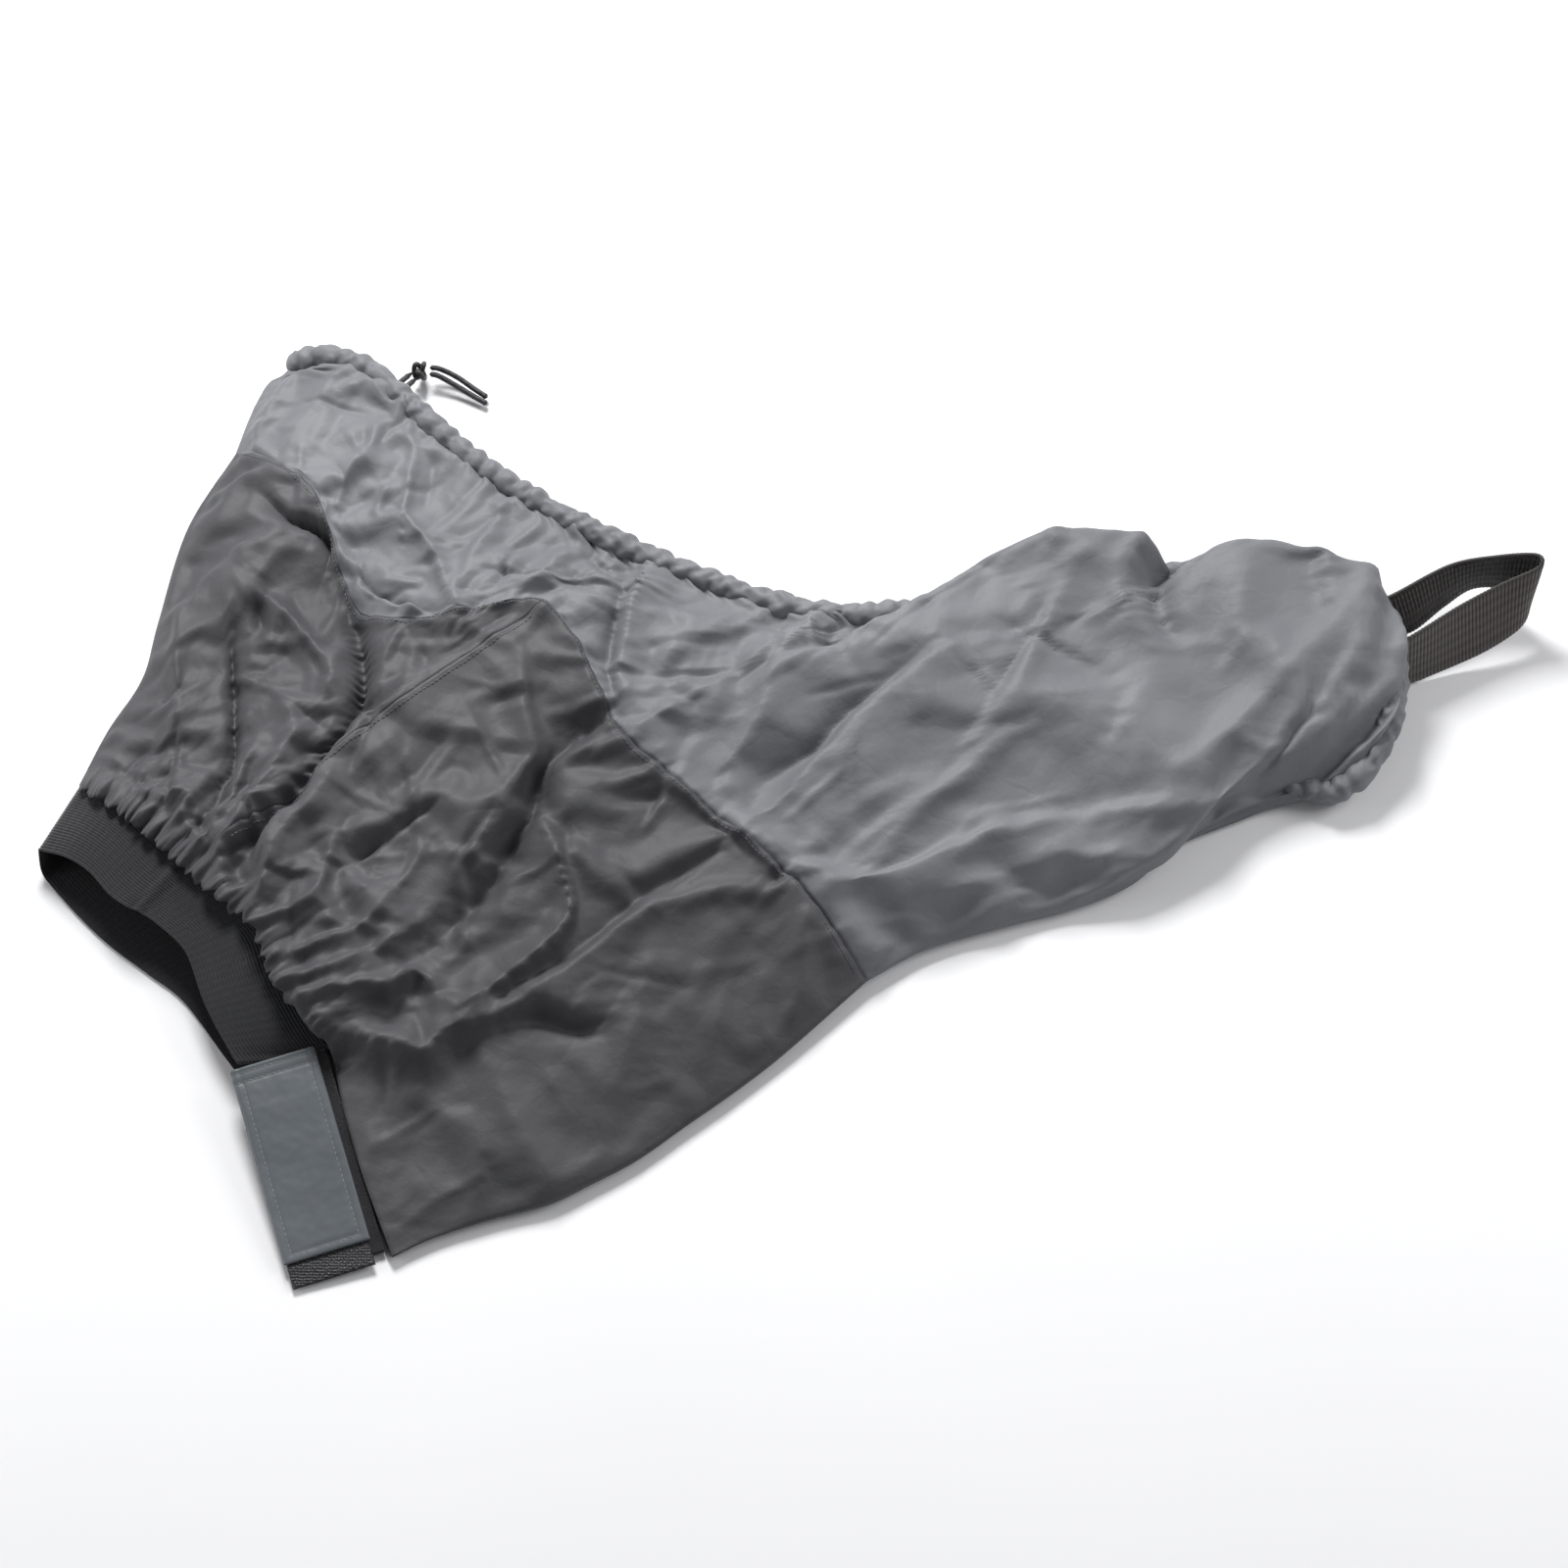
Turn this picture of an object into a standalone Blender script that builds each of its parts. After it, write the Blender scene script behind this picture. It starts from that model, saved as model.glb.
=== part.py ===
"""Kayak spray skirt, laid down collapsed: a deck pouch with an elastic rim, and the tunnel lying beside it.

Metres, +Z up. The skirt is a flattened tube of cloth. Each ring of it has a near side, which lies on top, and a
far side, which lies on the floor, and the two meet at a fold at each end. The rings run from the waist, at the
lower left, over the seam between tunnel and deck, to the elastic rim. The finished skirt stands on z = 0 with the
origin under the middle of its box.
"""
import bpy
import numpy as np
from mathutils import Vector

# ---- overall size -----------------------------------------------------------------------------------------
SKIRT_LENGTH = 0.792       # waist fold to bow, along X; the ring places below are drawn for DRAWN_LENGTH
SKIRT_DEPTH = 0.608        # tab corner to stern, along Y; drawn for DRAWN_DEPTH
CROWN_HEIGHT = 0.048       # height of the near side's middle line at the tunnel seam
DRAWN_LENGTH = 0.792
DRAWN_DEPTH = 0.608
DRAWN_CROWN = 0.048

# ---- cloth, webbing and elastic ---------------------------------------------------------------------------
CLOTH_WALL = 0.0024        # the crumpled nylon and the air it holds, as one wall
SEAM_GAP = 0.0014          # between cloth pieces that are sewn edge to edge
CLEARANCE = 0.0005         # between neighbours that lie on each other
SIDE_SEAM_SHARE = 0.34     # how far along the near side the tunnel's side seam runs
DECK_SWELL = 0.013         # how far the near side stands above the straight line from seam to rim
TUNNEL_SWELL = 0.010
LEFT_FOLD_BOW = (-0.0095, 0.0030)      # how far the tunnel's edge at its left fold bulges, along X and Y
RIGHT_FOLD_BOW = (0.0099, -0.01494)    # and at its right fold
LOBE_HEIGHT = 0.026        # the two humps of deck cloth near the bow
LOBE_RADIUS = 0.040

CASING_DIAMETER = 0.014    # gathered hem round the rim
CASING_WALL = 0.0016
HEM_ROOM = 0.22 * CASING_DIAMETER     # between the deck cloth and the rim hem
CASING_MOUTH = 0.018       # opening in the hem where the bungee comes out
BUNGEE_DIAMETER = 0.0034

ELASTIC_WALL = 0.0018
TAB_WALL = 0.0014
TAB_WIDTH = 0.048
TAB_LENGTH = 0.116 * SKIRT_DEPTH / DRAWN_DEPTH           # the flat hem it hangs beside is as long
HOOK_STRIP_WALL = 0.0013
HOOK_STRIP_LENGTH = 0.070
HOOK_STRIP_OVERHANG = 0.014
LOOP_STRIP_WALL = 0.0012
LOOP_STRIP_WIDTH = 0.046
LOOP_STRIP_LENGTH = TAB_LENGTH + 0.006
LOOP_STRIP_SET_BACK = 0.002            # from the tab's head to the strip's
LOOP_STRIP_SIDESTEP = 0.0065           # how far the strip's edge shows beside the tab
HOOK_STRIP_INSET = 0.001               # the hook strip is this much inside the tab at each edge

WEBBING_WIDTH = 0.038
WEBBING_WALL = 0.0022
GRAB_LOOP_REACH = 0.085    # bow hem to the tip of the loop
GRAB_LOOP_SPREAD = 0.022   # between the two strands at their widest
BARTACK_LENGTH = 0.006
GRAB_LOOP_ROOM = 0.0042    # bartack to the webbing, so that the loop can swing
GRAB_LOOP_AIM = (0.90, 0.42)           # the way the loop points, along X and Y
GRAB_LOOP_LEAN = 0.10      # how far the webbing leans over, for each unit of height
# one strand's plan: how far along, and how far aside as a share of half the spread
GRAB_LOOP_PLAN = ((0.016, 0.5455), (0.040, 1.0), (0.062, 0.98), (0.076, 0.55))
GRAB_LOOP_TIP = 0.080      # how far along the drawn loop's tip is
BARTACK_SHARE = 0.9        # the bartack's height, as a share of the webbing's width

KNOT_LENGTH = 0.0135
KNOT_WIDTH = 0.0105
DRAWCORD_TAIL_GAP = 0.0004             # between the knot and its tails
TAIL_APART = 0.0048                    # between the two tails, where they leave the knot
# the tails' route beyond the knot: along X, Y, how much further apart they are, and down
TAIL_ROUTE = ((0.010, 0.0, 1.1, -0.0006), (0.016, -0.002, 1.3, -0.0022), (0.024, -0.006, 1.4, -0.0042),
              (0.033, -0.012, 1.2, -0.0058), (0.042, -0.018, 1.0, -0.0066))
KNOT_OUTWARD = (0.70, 0.72, 0)         # the way the bungee leaves the hem
KNOT_RISE = 0.003                      # above the middle of the hem

# ---- mesh fineness ----------------------------------------------------------------------------------------
RING_STATIONS = 24         # places along one side of the deck's rings
DECK_ROWS = 8
TUNNEL_ROWS = 7


def place(x, y, z):
    """A place on the drawn outline, in metres, stretched to the skirt's own length, depth and crown."""
    return np.array((x * SKIRT_LENGTH / DRAWN_LENGTH, y * SKIRT_DEPTH / DRAWN_DEPTH, z * CROWN_HEIGHT / DRAWN_CROWN))


def places(rows):
    return np.array([place(*row) for row in rows])


FLOOR_SIDE = CLOTH_WALL / 2                    # height of the far cloth's middle
FAR_RIM = CASING_DIAMETER / 2                  # height of the far rim's middle
SEAM_LEFT = place(-0.328, 0.223, 0.007)
SEAM_RIGHT = place(0.050, -0.140, 0.007)
SEAM_DIRECTION = Vector((SEAM_RIGHT - SEAM_LEFT)[:2]).to_3d().normalized()
SEAM_NORMAL = np.array(SEAM_DIRECTION.cross(Vector((0, 0, -1))))     # level, towards the deck


def with_height(rows, height):
    """The same places with one height, which doesn't stretch with the crown."""
    flat = places([(x, y, 0) for x, y in rows])
    flat[:, 2] = height
    return flat


# ---- the rings, as places from the left or stern fold to the right or bow fold -----------------------------
WAIST_NEAR = places([
    (-0.404, -0.018, 0.012), (-0.385, -0.036, 0.022), (-0.329, -0.080, 0.026), (-0.290, -0.114, 0.027),
    (-0.267, -0.152, 0.025), (-0.250, -0.186, 0.021), (-0.232, -0.236, 0.015), (-0.211, -0.298, 0.007),
    (-0.208, -0.307, 0.0045)])
WAIST_FAR = with_height([
    (-0.398, -0.030), (-0.335, -0.085), (-0.296, -0.120), (-0.272, -0.158), (-0.254, -0.192), (-0.236, -0.240),
    (-0.213, -0.300)], FLOOR_SIDE)
WAIST_FAR = np.vstack((WAIST_NEAR[:1], WAIST_FAR, WAIST_NEAR[-1:]))

SEAM_SHARES = (0.0, 0.04, 0.14, 0.32, 0.5, 0.68, 0.86, 0.96, 1.0)
SEAM_HEIGHTS = (0.007, 0.021, 0.038, 0.046, 0.048, 0.044, 0.032, 0.018, 0.007)

RIM_NEAR = places([
    (-0.298, 0.282, 0.016), (-0.279, 0.270, 0.026), (-0.253, 0.252, 0.029), (-0.231, 0.229, 0.031),
    (-0.185, 0.187, 0.031), (-0.131, 0.153, 0.031), (-0.060, 0.120, 0.031), (0.021, 0.090, 0.031),
    (0.096, 0.094, 0.030), (0.167, 0.112, 0.024), (0.240, 0.124, 0.021), (0.310, 0.118, 0.022),
    (0.346, 0.103, 0.025), (0.360, 0.078, 0.027), (0.360, 0.046, 0.025), (0.353, 0.018, 0.021),
    (0.340, -0.006, 0.016), (0.320, -0.021, 0.011)])
RIM_FAR = with_height([
    (0.284, -0.010), (0.208, 0.014), (0.153, 0.042), (0.108, 0.070), (0.062, 0.092), (0.010, 0.108),
    (-0.060, 0.138), (-0.127, 0.178), (-0.175, 0.216), (-0.212, 0.252), (-0.240, 0.278), (-0.270, 0.296)], FAR_RIM)
RIM_FAR = np.vstack((RIM_NEAR[:1], RIM_FAR[::-1], RIM_NEAR[-1:]))
BOW_MIDDLE = place(0.360, 0.078, 0.027)
CORD_EXIT_STATION = 1.888     # on the far side, just short of the stern

LOBES = ((place(0.186, 0.088, 0)[:2], 1.0), (place(0.292, 0.080, 0)[:2], 0.85), (place(0.305, 0.000, 0)[:2], 0.5))


def curve_through(points, shares):
    """A smooth curve through the points, read at the given shares of its length."""
    ends = np.vstack((2 * points[0] - points[1], points, 2 * points[-1] - points[-2]))
    steps = np.linspace(0, 1, 24, endpoint=False)[:, None]
    runs = []
    for a, b, c, d in zip(ends, ends[1:], ends[2:], ends[3:]):
        runs.append(0.5 * (2 * b + (c - a) * steps + (2 * a - 5 * b + 4 * c - d) * steps ** 2
                           + (3 * b - a - 3 * c + d) * steps ** 3))
    dense = np.vstack(runs + [points[-1:]])
    walked = np.concatenate(([0], np.cumsum(np.linalg.norm(np.diff(dense, axis=0), axis=1))))
    wanted = np.asarray(shares) * walked[-1]
    return np.stack([np.interp(wanted, walked, dense[:, axis]) for axis in range(3)], axis=1)


def ring(near, far, stations, gathered=1.0):
    """Places round a flattened ring: stations 0 to 1 run along the near side, and 1 to 2 back along the far side.

    Gathered places crowd towards the two folds; with gathered at 0 they stand equal distances apart.
    """
    stations = np.asarray(stations, float)
    on_near = stations <= 1
    along = np.where(on_near, stations, 2 - stations)
    shares = along * (1 - gathered) + (1 - np.cos(np.pi * along)) / 2 * gathered
    points = np.empty((len(stations), 3))
    points[on_near] = curve_through(near, shares[on_near])
    points[~on_near] = curve_through(far, shares[~on_near])
    return points


def rim_ring(stations):
    return ring(RIM_NEAR, RIM_FAR, stations, gathered=0.0)


def seam_ring(stations, offset):
    """The ring at the tunnel seam, in one upright plane, moved by offset towards the deck."""
    shares = np.array(SEAM_SHARES)[:, None]
    line = SEAM_LEFT + (SEAM_RIGHT - SEAM_LEFT) * shares
    near, far = line.copy(), line.copy()
    near[:, 2] = np.array(SEAM_HEIGHTS) * CROWN_HEIGHT / DRAWN_CROWN
    far[1:-1, 2] = FLOOR_SIDE
    return ring(near, far, stations) + SEAM_NORMAL * offset


def deck_stations():
    return np.linspace(0, 2, 2 * RING_STATIONS, endpoint=False)


def hump(stations):
    """1 along the middle of the near side, and 0 at both folds and on the far side."""
    return np.clip(np.sin(np.pi * stations), 0, None) ** 0.4


# ---- object helpers ---------------------------------------------------------------------------------------
def material(name, color, roughness, metallic=0.0):
    made = bpy.data.materials.new(name)
    made.use_nodes = True
    shader = made.node_tree.nodes["Principled BSDF"]
    shader.inputs["Base Color"].default_value = (*color, 1)
    shader.inputs["Roughness"].default_value = roughness
    shader.inputs["Metallic"].default_value = metallic
    return made


def add_object(name, data, finish, parent):
    """An object that keeps its world place under its body's empty."""
    made = bpy.data.objects.new(name, data)
    bpy.context.collection.objects.link(made)
    data.materials.append(finish)
    made.parent = parent
    made.matrix_parent_inverse = parent.matrix_world.inverted()
    return made


def cloth(name, grid, wall, finish, parent, closed=False):
    """A wall of cloth on both sides of a grid of places: rows of equal length, joined up when closed."""
    rows, columns = grid.shape[:2]
    index = np.arange(rows * columns).reshape(rows, columns)
    if closed:
        index = np.hstack((index, index[:, :1]))
    faces = np.stack((index[:-1, :-1], index[1:, :-1], index[1:, 1:], index[:-1, 1:]), axis=-1).reshape(-1, 4)
    mesh = bpy.data.meshes.new(name)
    mesh.from_pydata(grid.reshape(-1, 3).tolist(), [], faces.tolist())
    mesh.shade_smooth()
    mesh.set_sharp_from_angle(angle=0.9)
    made = add_object(name, mesh, finish, parent)
    thicken = made.modifiers.new("wall", "SOLIDIFY")
    thicken.thickness = wall
    thicken.offset = 0
    thicken.use_even_offset = False
    return made


def tube(name, path, radius, finish, parent, capped=True, wall=0.0):
    """A round tube along a path: solid with capped ends, or a pipe with the given wall."""
    curve = bpy.data.curves.new(name, "CURVE")
    curve.dimensions = "3D"
    curve.bevel_depth = radius
    curve.bevel_resolution = 2
    curve.use_fill_caps = capped
    line = curve.splines.new("POLY")
    line.points.add(len(path) - 1)
    line.points.foreach_set("co", np.column_stack((path, np.ones(len(path)))).ravel())
    made = add_object(name, curve, finish, parent)
    if wall:
        thicken = made.modifiers.new("wall", "SOLIDIFY")
        thicken.thickness = wall
        thicken.offset = -1
    return made


def axis_empty(name, location, parent=None):
    """An empty that stands on a joint's axis and carries its body."""
    made = bpy.data.objects.new(name, None)
    made.empty_display_size = 0.03
    bpy.context.collection.objects.link(made)
    made.parent = parent
    made.location = Vector(location) - (parent.matrix_world.translation if parent else Vector())
    bpy.context.view_layer.update()
    return made


def strip_frame(start, toward, side):
    """Unit directions of a flat strip: along it, across it, and out of its top."""
    along = Vector(toward) - Vector(start)
    along.normalize()
    up = along.cross(Vector(side)).normalized()
    across = up.cross(along)
    return np.array(along), np.array(across), np.array(up)


def off_the_hem(toward, loop):
    """Unit directions that point toward the cloth, square to the closed loop."""
    tangent = np.roll(loop, -1, axis=0) - np.roll(loop, 1, axis=0)
    tangent /= np.linalg.norm(tangent, axis=1)[:, None]
    square = toward - tangent * (toward * tangent).sum(axis=1)[:, None]
    return square / np.linalg.norm(square, axis=1)[:, None]


def clear_of_hem(grid):
    """Cloth that comes too near the hem's middle line moves straight away from it."""
    room = CASING_DIAMETER / 2 + CLOTH_WALL / 2 + HEM_ROOM
    hem = rim_ring(np.linspace(0, 2, 16 * RING_STATIONS, endpoint=False))
    away = grid[:, :, None, :] - hem
    distance = np.linalg.norm(away, axis=-1)
    nearest = distance.argmin(axis=-1)[..., None]
    away = np.take_along_axis(away, nearest[..., None], axis=2)[:, :, 0]
    distance = np.take_along_axis(distance, nearest, axis=2)
    return grid + away / distance * np.clip(room - distance, 0, None)


# ---- the deck and its rim -----------------------------------------------------------------------------------
def make_deck(nylon, parent):
    """The deck: straight lines from the seam ring to the rim ring, swollen on the near side, with two lobes."""
    stations = deck_stations()
    seam = seam_ring(stations, SEAM_GAP / 2)
    rim = rim_ring(stations)
    share = np.linspace(0, 1, DECK_ROWS)[:, None, None]
    grid = seam * (1 - share) + rim * share
    swell = DECK_SWELL * np.sin(np.pi * share[..., 0]) * hump(stations)
    for middle, strength in LOBES:
        away = np.linalg.norm(grid[..., :2] - middle, axis=-1)
        swell += LOBE_HEIGHT * strength * np.exp(-(away / LOBE_RADIUS) ** 2 / 2) * hump(stations)
    grid[..., 2] += swell
    far = (stations > 1) & (stations < 2)
    grid[:-1, far, 2] = FLOOR_SIDE
    grid[-1] = rim + off_the_hem(grid[-2] - rim, rim) * (CASING_DIAMETER / 2 + CLEARANCE + CLOTH_WALL / 2)
    return cloth("deck_panel", clear_of_hem(grid), CLOTH_WALL, nylon, parent, closed=True)


def rim_path():
    """The middle of the rim hem, through the deck's own stations, from one side of the cord's mouth to the other."""
    far_length = np.linalg.norm(np.diff(RIM_FAR, axis=0), axis=1).sum()
    half = CASING_MOUTH / 2 / far_length
    start, end = CORD_EXIT_STATION + half, CORD_EXIT_STATION + 2 - half
    stations = np.concatenate((deck_stations(), deck_stations() + 2))
    spare = half / 2
    inside = stations[(stations > start + spare) & (stations < end - spare)]
    return rim_ring(np.concatenate(([start], inside, [end])) % 2)


def make_rim(nylon, shock_cord, parent):
    """The gathered hem as an open pipe, and the bungee that runs through it."""
    path = rim_path()
    tube("rim_hem_casing", path, CASING_DIAMETER / 2, nylon, parent, capped=False, wall=CASING_WALL)
    tube("rim_bungee", path, BUNGEE_DIAMETER / 2, shock_cord, parent)


# ---- the drawcord ---------------------------------------------------------------------------------------------
def make_drawcord(shock_cord, parent, knot_place):
    """The knot that ties the bungee's two ends, and the two tails that lie beyond it."""
    bpy.ops.mesh.primitive_uv_sphere_add(segments=12, ring_count=8, radius=0.5)
    knot = bpy.context.object
    knot.data.transform(knot.matrix_basis.Diagonal((KNOT_WIDTH, KNOT_LENGTH, KNOT_WIDTH, 1)))
    knot.data.transform(knot.matrix_basis.Translation(knot_place))
    knot.name = knot.data.name = "bungee_knot"
    knot.data.materials.append(shock_cord)
    knot.data.shade_smooth()
    knot.parent = parent
    knot.matrix_parent_inverse = parent.matrix_world.inverted()
    reach = KNOT_WIDTH / 2 + DRAWCORD_TAIL_GAP
    for name, side in (("bungee_tail_a", TAIL_APART / 2), ("bungee_tail_b", -TAIL_APART / 2)):
        route = [(reach, side, 0.0)] + [(x, side * apart + y, z) for x, y, apart, z in TAIL_ROUTE]
        points = curve_through(np.array(route) + np.array(knot_place), np.linspace(0, 1, 9))
        tube(name, points, BUNGEE_DIAMETER / 2, shock_cord, parent)


# ---- the tunnel -----------------------------------------------------------------------------------------------
def tunnel_grid(stations):
    """The tunnel: straight lines from the waist ring to the seam ring, its edges and near side a little swollen."""
    waist = ring(WAIST_NEAR, WAIST_FAR, stations)
    seam = seam_ring(stations, -SEAM_GAP / 2)
    share = np.linspace(0, 1, TUNNEL_ROWS)[:, None, None]
    grid = waist * (1 - share) + seam * share
    bow = np.sin(np.pi * share[..., 0])
    grid[..., 2] += TUNNEL_SWELL * bow * hump(stations)
    sideways = np.cos(np.pi * stations) ** 3
    for axis in (0, 1):
        bulge = np.where(sideways > 0, LEFT_FOLD_BOW[axis], RIGHT_FOLD_BOW[axis])
        grid[..., axis] += bow * np.abs(sideways) * bulge
    far = (stations > 1) & (stations < 2)
    grid[:, far, 2] = FLOOR_SIDE
    return grid


def make_tunnel(nylon, parent):
    """Front and rear panels, which meet at a side seam on the near side and one on the far side."""
    slit = SEAM_GAP / SKIRT_DEPTH
    front = np.linspace(SIDE_SEAM_SHARE + slit, 2 - SIDE_SEAM_SHARE - slit, 23)
    rear = np.linspace(2 - SIDE_SEAM_SHARE + slit, 2 + SIDE_SEAM_SHARE - slit, 15) % 2
    cloth("tunnel_front_panel", tunnel_grid(front), CLOTH_WALL, nylon, parent)
    cloth("tunnel_rear_panel", tunnel_grid(rear), CLOTH_WALL, nylon, parent)


# ---- the waist --------------------------------------------------------------------------------------------------
WAIST_BREAK = 0.64      # how far along the near waist line the elastic ends and the tab begins
ELASTIC_NEAR_EDGE = places([(-0.421, -0.059, 0.012), (-0.408, -0.062, 0.021), (-0.373, -0.094, 0.023),
                            (-0.335, -0.142, 0.022), (-0.297, -0.198, 0.019)])
ELASTIC_FAR_EDGE = with_height([(-0.421, -0.066), (-0.400, -0.090), (-0.352, -0.138), (-0.306, -0.188)],
                               ELASTIC_WALL / 2)
ELASTIC_FAR_EDGE = np.vstack((ELASTIC_NEAR_EDGE[:1], ELASTIC_FAR_EDGE))


def make_elastic(knitted, parent):
    """The waist elastic: one band from the tab, round the left fold, and back under itself."""
    shares = np.linspace(0, 1, 9)
    seam_side = SEAM_GAP + CLOTH_WALL / 2
    near_inner = curve_through(WAIST_NEAR, shares * WAIST_BREAK)
    far_inner = curve_through(WAIST_FAR, shares * WAIST_BREAK)
    near_outer = curve_through(ELASTIC_NEAR_EDGE, shares)
    far_outer = curve_through(ELASTIC_FAR_EDGE, shares)
    far_inner[1:, 2] = far_outer[1:, 2] = ELASTIC_WALL / 2
    inner = np.vstack((near_inner[::-1], far_inner[1:]))
    outer = np.vstack((near_outer[::-1], far_outer[1:]))
    away = outer - inner
    away /= np.linalg.norm(away, axis=1)[:, None]
    inner = inner + away * seam_side
    cloth("waist_elastic", np.stack((inner, (inner + outer) / 2, outer)), ELASTIC_WALL, knitted, parent)


TAB_HEAD = places([(-0.3015, -0.2000, 0.0190), (-0.2575, -0.1860, 0.0205)])    # outer and inner corner of its seam
TAB_FOOT = places([(-0.2670, -0.3080, 0.0062), (-0.2205, -0.2960, 0.0066)])


def tab_frame():
    head, foot = TAB_HEAD.mean(axis=0), TAB_FOOT.mean(axis=0)
    return head, *strip_frame(head, foot, TAB_HEAD[1] - TAB_HEAD[0])


def strip(name, start, along, across, size, wall, finish, parent):
    """A flat strip that starts in the middle of one end, at the middle of its thickness."""
    shares = np.linspace(0, 1, 5)[:, None, None]
    sides = np.array((-0.5, 0, 0.5))[None, :, None]
    grid = start + along * size[0] * shares + across * size[1] * sides
    return cloth(name, grid, wall, finish, parent)


def make_tab(nylon, hook, parent):
    """The pull tab, and the hook strip sewn under its free end."""
    head, along, across, up = tab_frame()
    start = head + along * SEAM_GAP
    strip("waist_tab_cover", start, along, across, (TAB_LENGTH, TAB_WIDTH), TAB_WALL, nylon, parent)
    below = (TAB_WALL + HOOK_STRIP_WALL) / 2 + CLEARANCE
    hook_start = start + along * (TAB_LENGTH + HOOK_STRIP_OVERHANG - HOOK_STRIP_LENGTH) - up * below
    strip("hook_strip", hook_start, along, across, (HOOK_STRIP_LENGTH, TAB_WIDTH - 2 * HOOK_STRIP_INSET), HOOK_STRIP_WALL,
          hook, parent)


def make_loop_strip(loop_pile, parent):
    """The loop strip, sewn to the flat part of the waist and lying under the tab."""
    head, along, across, up = tab_frame()
    below = TAB_WALL / 2 + HOOK_STRIP_WALL + LOOP_STRIP_WALL / 2 + 2 * CLEARANCE
    start = head + along * (SEAM_GAP + LOOP_STRIP_SET_BACK) - up * below + across * LOOP_STRIP_SIDESTEP
    strip("loop_strip", start, along, across, (LOOP_STRIP_LENGTH, LOOP_STRIP_WIDTH), LOOP_STRIP_WALL, loop_pile,
          parent)


# ---- the grab loop ------------------------------------------------------------------------------------------------
def loop_start():
    """Where the webbing leaves the rim hem: the middle of the bow, just outside the hem."""
    return BOW_MIDDLE[:2] + np.array((CASING_DIAMETER / 2 + CLEARANCE, 0))


def make_grab_loop(webbing, thread, loop_parent, deck_parent):
    """A loop of webbing standing on its edge, and the bar of stitching that holds its ends to the hem."""
    x, y = loop_start()
    foot = WEBBING_WALL / 2 + CLEARANCE / 2
    root = x + BARTACK_LENGTH + GRAB_LOOP_ROOM
    half = GRAB_LOOP_SPREAD / 2
    near = [(0, -foot)] + [(along, -half * aside) for along, aside in GRAB_LOOP_PLAN]
    plan = near + [(GRAB_LOOP_TIP, 0)] + [(along, -aside) for along, aside in reversed(near)]
    lean = Vector(GRAB_LOOP_AIM)
    lean.normalize()
    reach = (GRAB_LOOP_REACH - BARTACK_LENGTH - GRAB_LOOP_ROOM) / GRAB_LOOP_TIP
    line = []
    for along, aside in plan:
        line.append((root + along * reach * lean.x - aside * lean.y, y + along * reach * lean.y + aside * lean.x, 0))
    line = curve_through(np.array(line), np.linspace(0, 1, 31))
    low = line + np.array((0, 0, WEBBING_WALL / 2))
    rise = np.array((0.0, GRAB_LOOP_LEAN, 1.0))
    top = low + rise / np.linalg.norm(rise) * (WEBBING_WIDTH - WEBBING_WALL)
    cloth("grab_loop", np.stack((low, (low + top) / 2, top)), WEBBING_WALL, webbing, loop_parent)
    width = 2 * WEBBING_WALL + CLEARANCE
    bpy.ops.mesh.primitive_cube_add(size=1)
    tack = bpy.context.object
    tack.data.transform(tack.matrix_basis.Diagonal((BARTACK_LENGTH, width, WEBBING_WIDTH * BARTACK_SHARE, 1)))
    middle = Vector((x + BARTACK_LENGTH / 2, y, WEBBING_WIDTH / 2 + WEBBING_WALL / 2))
    tack.data.transform(tack.matrix_basis.Translation(middle))
    tack.name = tack.data.name = "grab_loop_bartack"
    tack.data.materials.append(thread)
    tack.parent = deck_parent
    tack.matrix_parent_inverse = deck_parent.matrix_world.inverted()


def stand_on_origin(root):
    """Moves the whole skirt so that the origin is under the middle of its box; the free cord tails don't count."""
    bpy.context.view_layer.update()
    graph = bpy.context.evaluated_depsgraph_get()
    corners = []
    for made in bpy.data.objects:
        if made.type == "EMPTY" or made.name.startswith("bungee_"):
            continue
        solid = made.evaluated_get(graph)
        mesh = solid.to_mesh()
        local = np.empty(len(mesh.vertices) * 3, dtype=np.float32)
        mesh.vertices.foreach_get("co", local)
        solid.to_mesh_clear()
        world = local.reshape(-1, 3) @ np.array(made.matrix_world.to_3x3()).T + np.array(made.matrix_world.translation)
        corners += [world.min(axis=0), world.max(axis=0)]
    low, high = np.min(corners, axis=0), np.max(corners, axis=0)
    root.location = (-(low[0] + high[0]) / 2, -(low[1] + high[1]) / 2, -low[2])


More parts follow.
